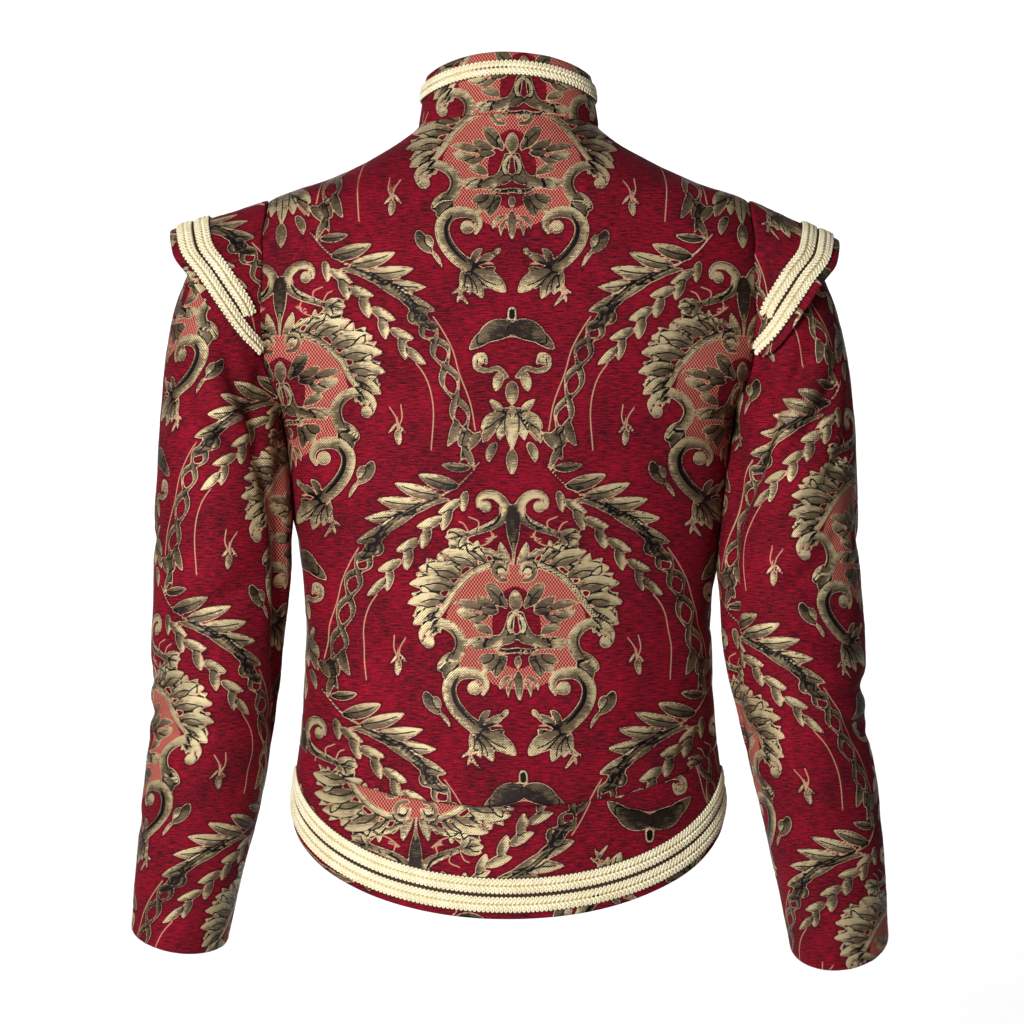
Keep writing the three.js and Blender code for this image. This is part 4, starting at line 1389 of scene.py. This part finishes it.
# %% [markdown]
# ## Gimp braid
# The trimming is a gimp: a cord is looped to and fro over core threads, so that both edges are
# rows of small scallops. It is sewn on a narrow tape. The loops are all alike and follow a line,
# so Geometry Nodes lay them: a line along the middle of the braid is measured off in steps of one
# loop, and a pair of loops is set at each step, square to the line and flat on the cloth.

# %% Gimp thread
gimp_loom = Loom("gimp_cream")
here = gimp_loom.place()
ply = gimp_loom.noise(here, 900.0, 2.0)
age = gimp_loom.noise(here, 60.0, 3.0)
gimp_cream = gimp_loom.finish({
    "Base Color": gimp_loom.blend((ply * 0.5 + age * 0.5).ease(0.3, 0.7), dye(226, 210, 168),
                                  dye(248, 238, 206)),
    "Roughness": 0.7, "Normal": gimp_loom.bump(ply, MM * 0.25),
    "Sheen Weight": 0.1, "Sheen Roughness": 0.5,
})
tape_loom = Loom("gimp_tape")
tape_cloth = tape_loom.cloth()
weft = tape_loom.noise(tape_loom.stretched(tape_cloth, (300, 1800, 1)), 1.0, 2.0)
across_tape = tape_loom.parts(tape_cloth)[1] / MM
under_loops = across_tape.ease(1.2, 1.8)
under_loops = under_loops * across_tape.ease(BRAID_WIDE - 1.6, BRAID_WIDE - 1.0, 1.0, 0.0)
# the weft at the edges of the tape is dark: partly the tape's own colour, partly painted shade in
# the holes of the scallops and the gap between braids
dark_weft_and_shade = tape_loom.blend(weft, dye(40, 22, 12), dye(70, 44, 24))
pale_weft = tape_loom.blend(weft, dye(196, 174, 128), dye(222, 202, 156))
gimp_tape = tape_loom.finish({
    "Base Color": tape_loom.blend(under_loops, dark_weft_and_shade, pale_weft),
    "Roughness": 0.85, "Normal": tape_loom.bump(weft, MM * 0.3),
})

# %% One step of the gimp
LOOP_STEP = 3.6
THREAD_HALF, CORE_HALF = 0.92, 1.35
LOOP_HALF_LONG, LOOP_HALF_WIDE, LOOP_AWAY = 1.05, 1.35, 4.5
LOOP_TILT = 0.2  # each loop rests on the one before it
LOOP_ROUND, THREAD_ROUND = 9, 4


def cord_round(line, closed, half, points, faces):
    """A cord of four sides along a line that lies flat, as points and faces."""
    first, count = len(points), len(line)
    for i, (x, y, z) in enumerate(line):
        after = line[(i + 1) % count] if closed or i < count - 1 else line[i]
        before = line[i - 1] if closed or i > 0 else line[i]
        way = unit_of(np.array(after[:2]) - np.array(before[:2]))
        for j in range(THREAD_ROUND):
            b = FULL_TURN * (j + 0.5) / THREAD_ROUND
            r, h = half * math.cos(b), half * math.sin(b)
            points.append((x + r * way[1], y - r * way[0], z + h))
    rings = [[first + i * THREAD_ROUND + j for j in range(THREAD_ROUND)] for i in range(count)]
    for i in range(count if closed else count - 1):
        here, onward = rings[i], rings[(i + 1) % count]
        for j in range(THREAD_ROUND):
            k = (j + 1) % THREAD_ROUND
            faces.append([onward[j], onward[k], here[k], here[j]])
    if not closed:
        faces.append(rings[0])
        faces.append(rings[-1][::-1])


def gimp_step():
    """A scallop at each edge, and between them two slanting cords that plait the middle."""
    points, faces = [], []
    for away in (-LOOP_AWAY, LOOP_AWAY):
        ring = []
        for i in range(LOOP_ROUND):
            a = FULL_TURN * i / LOOP_ROUND
            x = LOOP_HALF_LONG * math.cos(a)
            ring.append((x, away + LOOP_HALF_WIDE * math.sin(a), LOOP_TILT * x))
        cord_round(ring, True, THREAD_HALF, points, faces)
        near, far = math.copysign(0.7, away), math.copysign(LOOP_AWAY - 0.5, away)
        cord = [(-2.4, far, -0.5), (-0.3, (near + far) / 2, 0.3), (2.4, near, -0.1)]
        cord_round(cord, False, CORE_HALF, points, faces)
    return place("gimp_step", points, faces)


def laying_tree():
    """The tree that lays loops along a line. way_out on the line says where the cloth faces."""
    tree = bpy.data.node_groups.new("lay_gimp", "GeometryNodeTree")
    tree.is_modifier = True
    for name, kind in (("Line", "NodeSocketGeometry"), ("Gimp", "NodeSocketObject"),
                       ("Step", "NodeSocketFloat"), ("Finish", "NodeSocketMaterial")):
        tree.interface.new_socket(name, in_out="INPUT", socket_type=kind)
    tree.interface.new_socket("Braid", in_out="OUTPUT", socket_type="NodeSocketGeometry")
    bench = Loom(tree=tree)
    node, given = bench.node, tree.nodes.new("NodeGroupInput")

    def of(name): return Thread(bench, given.outputs[name])
    curve = node("GeometryNodeMeshToCurve", {}, {"Mesh": of("Line")})
    steps = node("GeometryNodeResampleCurve", {"mode": "LENGTH"},
                 {"Curve": curve, "Length": of("Step")})
    way_out = node("GeometryNodeInputNamedAttribute", {"data_type": "FLOAT_VECTOR"},
                   {"Name": "way_out"})
    upright = node("FunctionNodeAlignRotationToVector", {"axis": "Z"}, {"Vector": way_out})
    square = node("FunctionNodeAlignRotationToVector", {"axis": "X", "pivot_axis": "Z"},
                  {"Rotation": upright, "Vector": node("GeometryNodeInputTangent")})
    pair = node("GeometryNodeObjectInfo", {}, {"Object": of("Gimp")}, "Geometry")
    laid = node("GeometryNodeInstanceOnPoints", {},
                {"Points": steps, "Instance": pair, "Rotation": square})
    whole_braid = node("GeometryNodeRealizeInstances", {}, {"Geometry": laid})
    finished = node("GeometryNodeSetMaterial", {},
                    {"Geometry": whole_braid, "Material": of("Finish")})
    tree.links.new(finished.socket, tree.nodes.new("NodeGroupOutput").inputs["Braid"])
    return tree


LAY_GIMP = laying_tree()
STEP = gimp_step()


def lay_gimp(name, line, normals):
    """Loops along a line of points in millimetres, as one plain mesh."""
    edges = [(i, i + 1) for i in range(len(line) - 1)]
    path = bpy.data.meshes.new(name + "_line")
    path.from_pydata((line * MM).tolist(), edges, [])
    path.attributes.new("way_out", "FLOAT_VECTOR", "POINT").data.foreach_set(
        "vector", normals.astype(np.float32).ravel())
    guide = stand(name + "_line", path)
    layer = guide.modifiers.new("gimp", "NODES")
    layer.node_group = LAY_GIMP
    values = {"Gimp": STEP, "Step": LOOP_STEP * MM, "Finish": gimp_cream}
    for item in LAY_GIMP.interface.items_tree:
        if item.in_out == "INPUT" and item.name in values:
            layer[item.identifier] = values[item.name]
    bpy.context.view_layer.update()
    graph = bpy.context.evaluated_depsgraph_get()
    form = bpy.data.meshes.new_from_object(guide.evaluated_get(graph))
    form.shade_smooth()
    bpy.data.objects.remove(guide)
    pieces[name] = stand(name, form)
    print(name, len(form.polygons) * 2, "triangles")


# %% Tape and loops on every edge
TAPE_THICK, TAPE_LIFT = 0.7, 0.9
LOOP_LIFT = TAPE_LIFT + THREAD_HALF * 0.75
WING_MARGIN, COLLAR_DROP = 6.0, 7.4  # from the free edge to the braid
HEM_LONG, HEM_SPACE, TAPE_SPACE = 1150, 6, 5
braids = {}


def trim(name, carrier, rows, before=0, after=0, carrier_lift=0.0, part=slice(None)):
    """A braid over a carrier. rows are its two edges, as points along the carrier's own form.
    The tape goes beyond them by shares of the width, and part is where loops have room."""
    low, high = rows
    line = (low + high) / 2
    t = np.linspace(-before, 1 + after, STRIDE + 1)[:, None, None]
    grid = low + (high - low) * t
    normals = normals_of(grid)
    tape = grid + (carrier_lift + TAPE_LIFT) * normals
    points, outer, rim, inside, under = shell(tape, normals, TAPE_THICK)
    made = place(name + "_tape", points, outer + rim + inside)
    map_cloth(made.data, run_along(grid, 1), run_along(grid, 0), under)
    made.data.materials.append(gimp_tape)
    pieces[name + "_tape"] = made
    braids[name] = (float(spans_of(line, 0).sum()), carrier)
    middle = normals[STRIDE // 2]
    line = line + (carrier_lift + LOOP_LIFT) * middle
    lay_gimp(name + "_loops", line[part], middle[part])


# the tape of the first braid also fills the gap up to the second one; its dark weft there is partly
# the tape's colour and partly painted shade
FILL = 0.9 * BRAID_SPACE / BRAID_WIDE
angle = strip_angles(-math.pi, math.pi, whole(HEM_LONG / HEM_SPACE))
second = BRAID_WIDE + BRAID_SPACE
for name, start, after in (("hem_braid_lower", HEM_MARGIN, FILL),
                           ("hem_braid_upper", HEM_MARGIN + second, 0)):
    rows = [body_point(angle, above_hem(angle, d)) for d in (start, start + BRAID_WIDE)]
    trim(name, "basque_back_cloth", rows, after=after)
angle = strip_angles(-math.pi, math.pi, whole(COLLAR_LONG / TAPE_SPACE))
tall = np.linalg.norm(collar_point(angle, np.ones_like(angle))
                      - collar_point(angle, np.zeros_like(angle)), axis=-1)
rows = [collar_point(angle, 1 - d / tall) for d in (COLLAR_DROP + BRAID_WIDE, COLLAR_DROP)]
trim("collar_braid", "collar_cloth", rows)

INNER_END, BRAID_CLEAR = 90, 0.14
# on the wings too, the outer braid's tape fills the gap, with its dark weft partly painted shade
for side, hand in HANDS.items():
    for row, start, end, before in (("outer", WING_MARGIN, WING_END, FILL),
                                    ("inner", WING_MARGIN + second, INNER_END, 0)):
        degrees = np.linspace(-end, end, whole(WING_LONG / TAPE_SPACE) + 1)
        rows = wing_rows(hand, degrees, (start + BRAID_WIDE, start), BRAID_CLEAR)
        room = np.linalg.norm(rows[0] - rows[1], axis=-1) > BRAID_WIDE * 0.5
        if hand == RIGHT:
            rows, room = [(r * (-1, 1, 1))[::-1] for r in rows], room[::-1]
        part = slice(int(np.argmax(room)), len(room) - int(np.argmax(room[::-1])))
        trim(f"wing_braid_{row}_{side}", f"wing_{side}_cloth", rows, before,
             carrier_lift=WING_LIFT + CUT_WALL, part=part)
bpy.data.objects.remove(STEP)
print({name: round(long) for name, (long, carrier) in braids.items()})

# %% [markdown]
# ## Replacing the plain pieces
# Every fine piece takes the place of its plain one and rides on the garment. The area of each cloth
# is printed beside the area of its cut.

# %% Flat sizes
# node, then width and length of its cut, area of the cut, and the pieces that it meets
CUTS = """
back 0.52 0.56 0.256 front_left front_right
front_left 0.27 0.56 0.122 back
front_right 0.27 0.56 0.122 back
basque_back 0.53 0.10 0.039 back
basque_front_left 0.28 0.10 0.019 front_left
basque_front_right 0.28 0.10 0.019 front_right
collar 0.42 0.06 0.022 back
sleeve_left 0.42 0.64 0.193 back
sleeve_right 0.42 0.64 0.198 back
wing_left 0.36 0.085 0.019 sleeve_left
wing_right 0.36 0.085 0.018 sleeve_right
"""

for piece in pieces.values():
    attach(piece, "root")
for row in CUTS.strip().splitlines():
    node, wide, long, area, *others = row.split()
    wide, long, area = float(wide), float(long), float(area)
    meets = [other + "_cloth" for other in others]
    piece = pieces[node + "_cloth"]
    surface = sum(face.area for face in piece.data.polygons)
    print(node, "cloth", round(surface / 2, 4), "cut", area)
    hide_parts(node)
for name, (long, carrier) in braids.items():
    tape, loops = pieces[name + "_tape"], pieces[name + "_loops"]
    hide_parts(name)
    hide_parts(name)
    long * MM
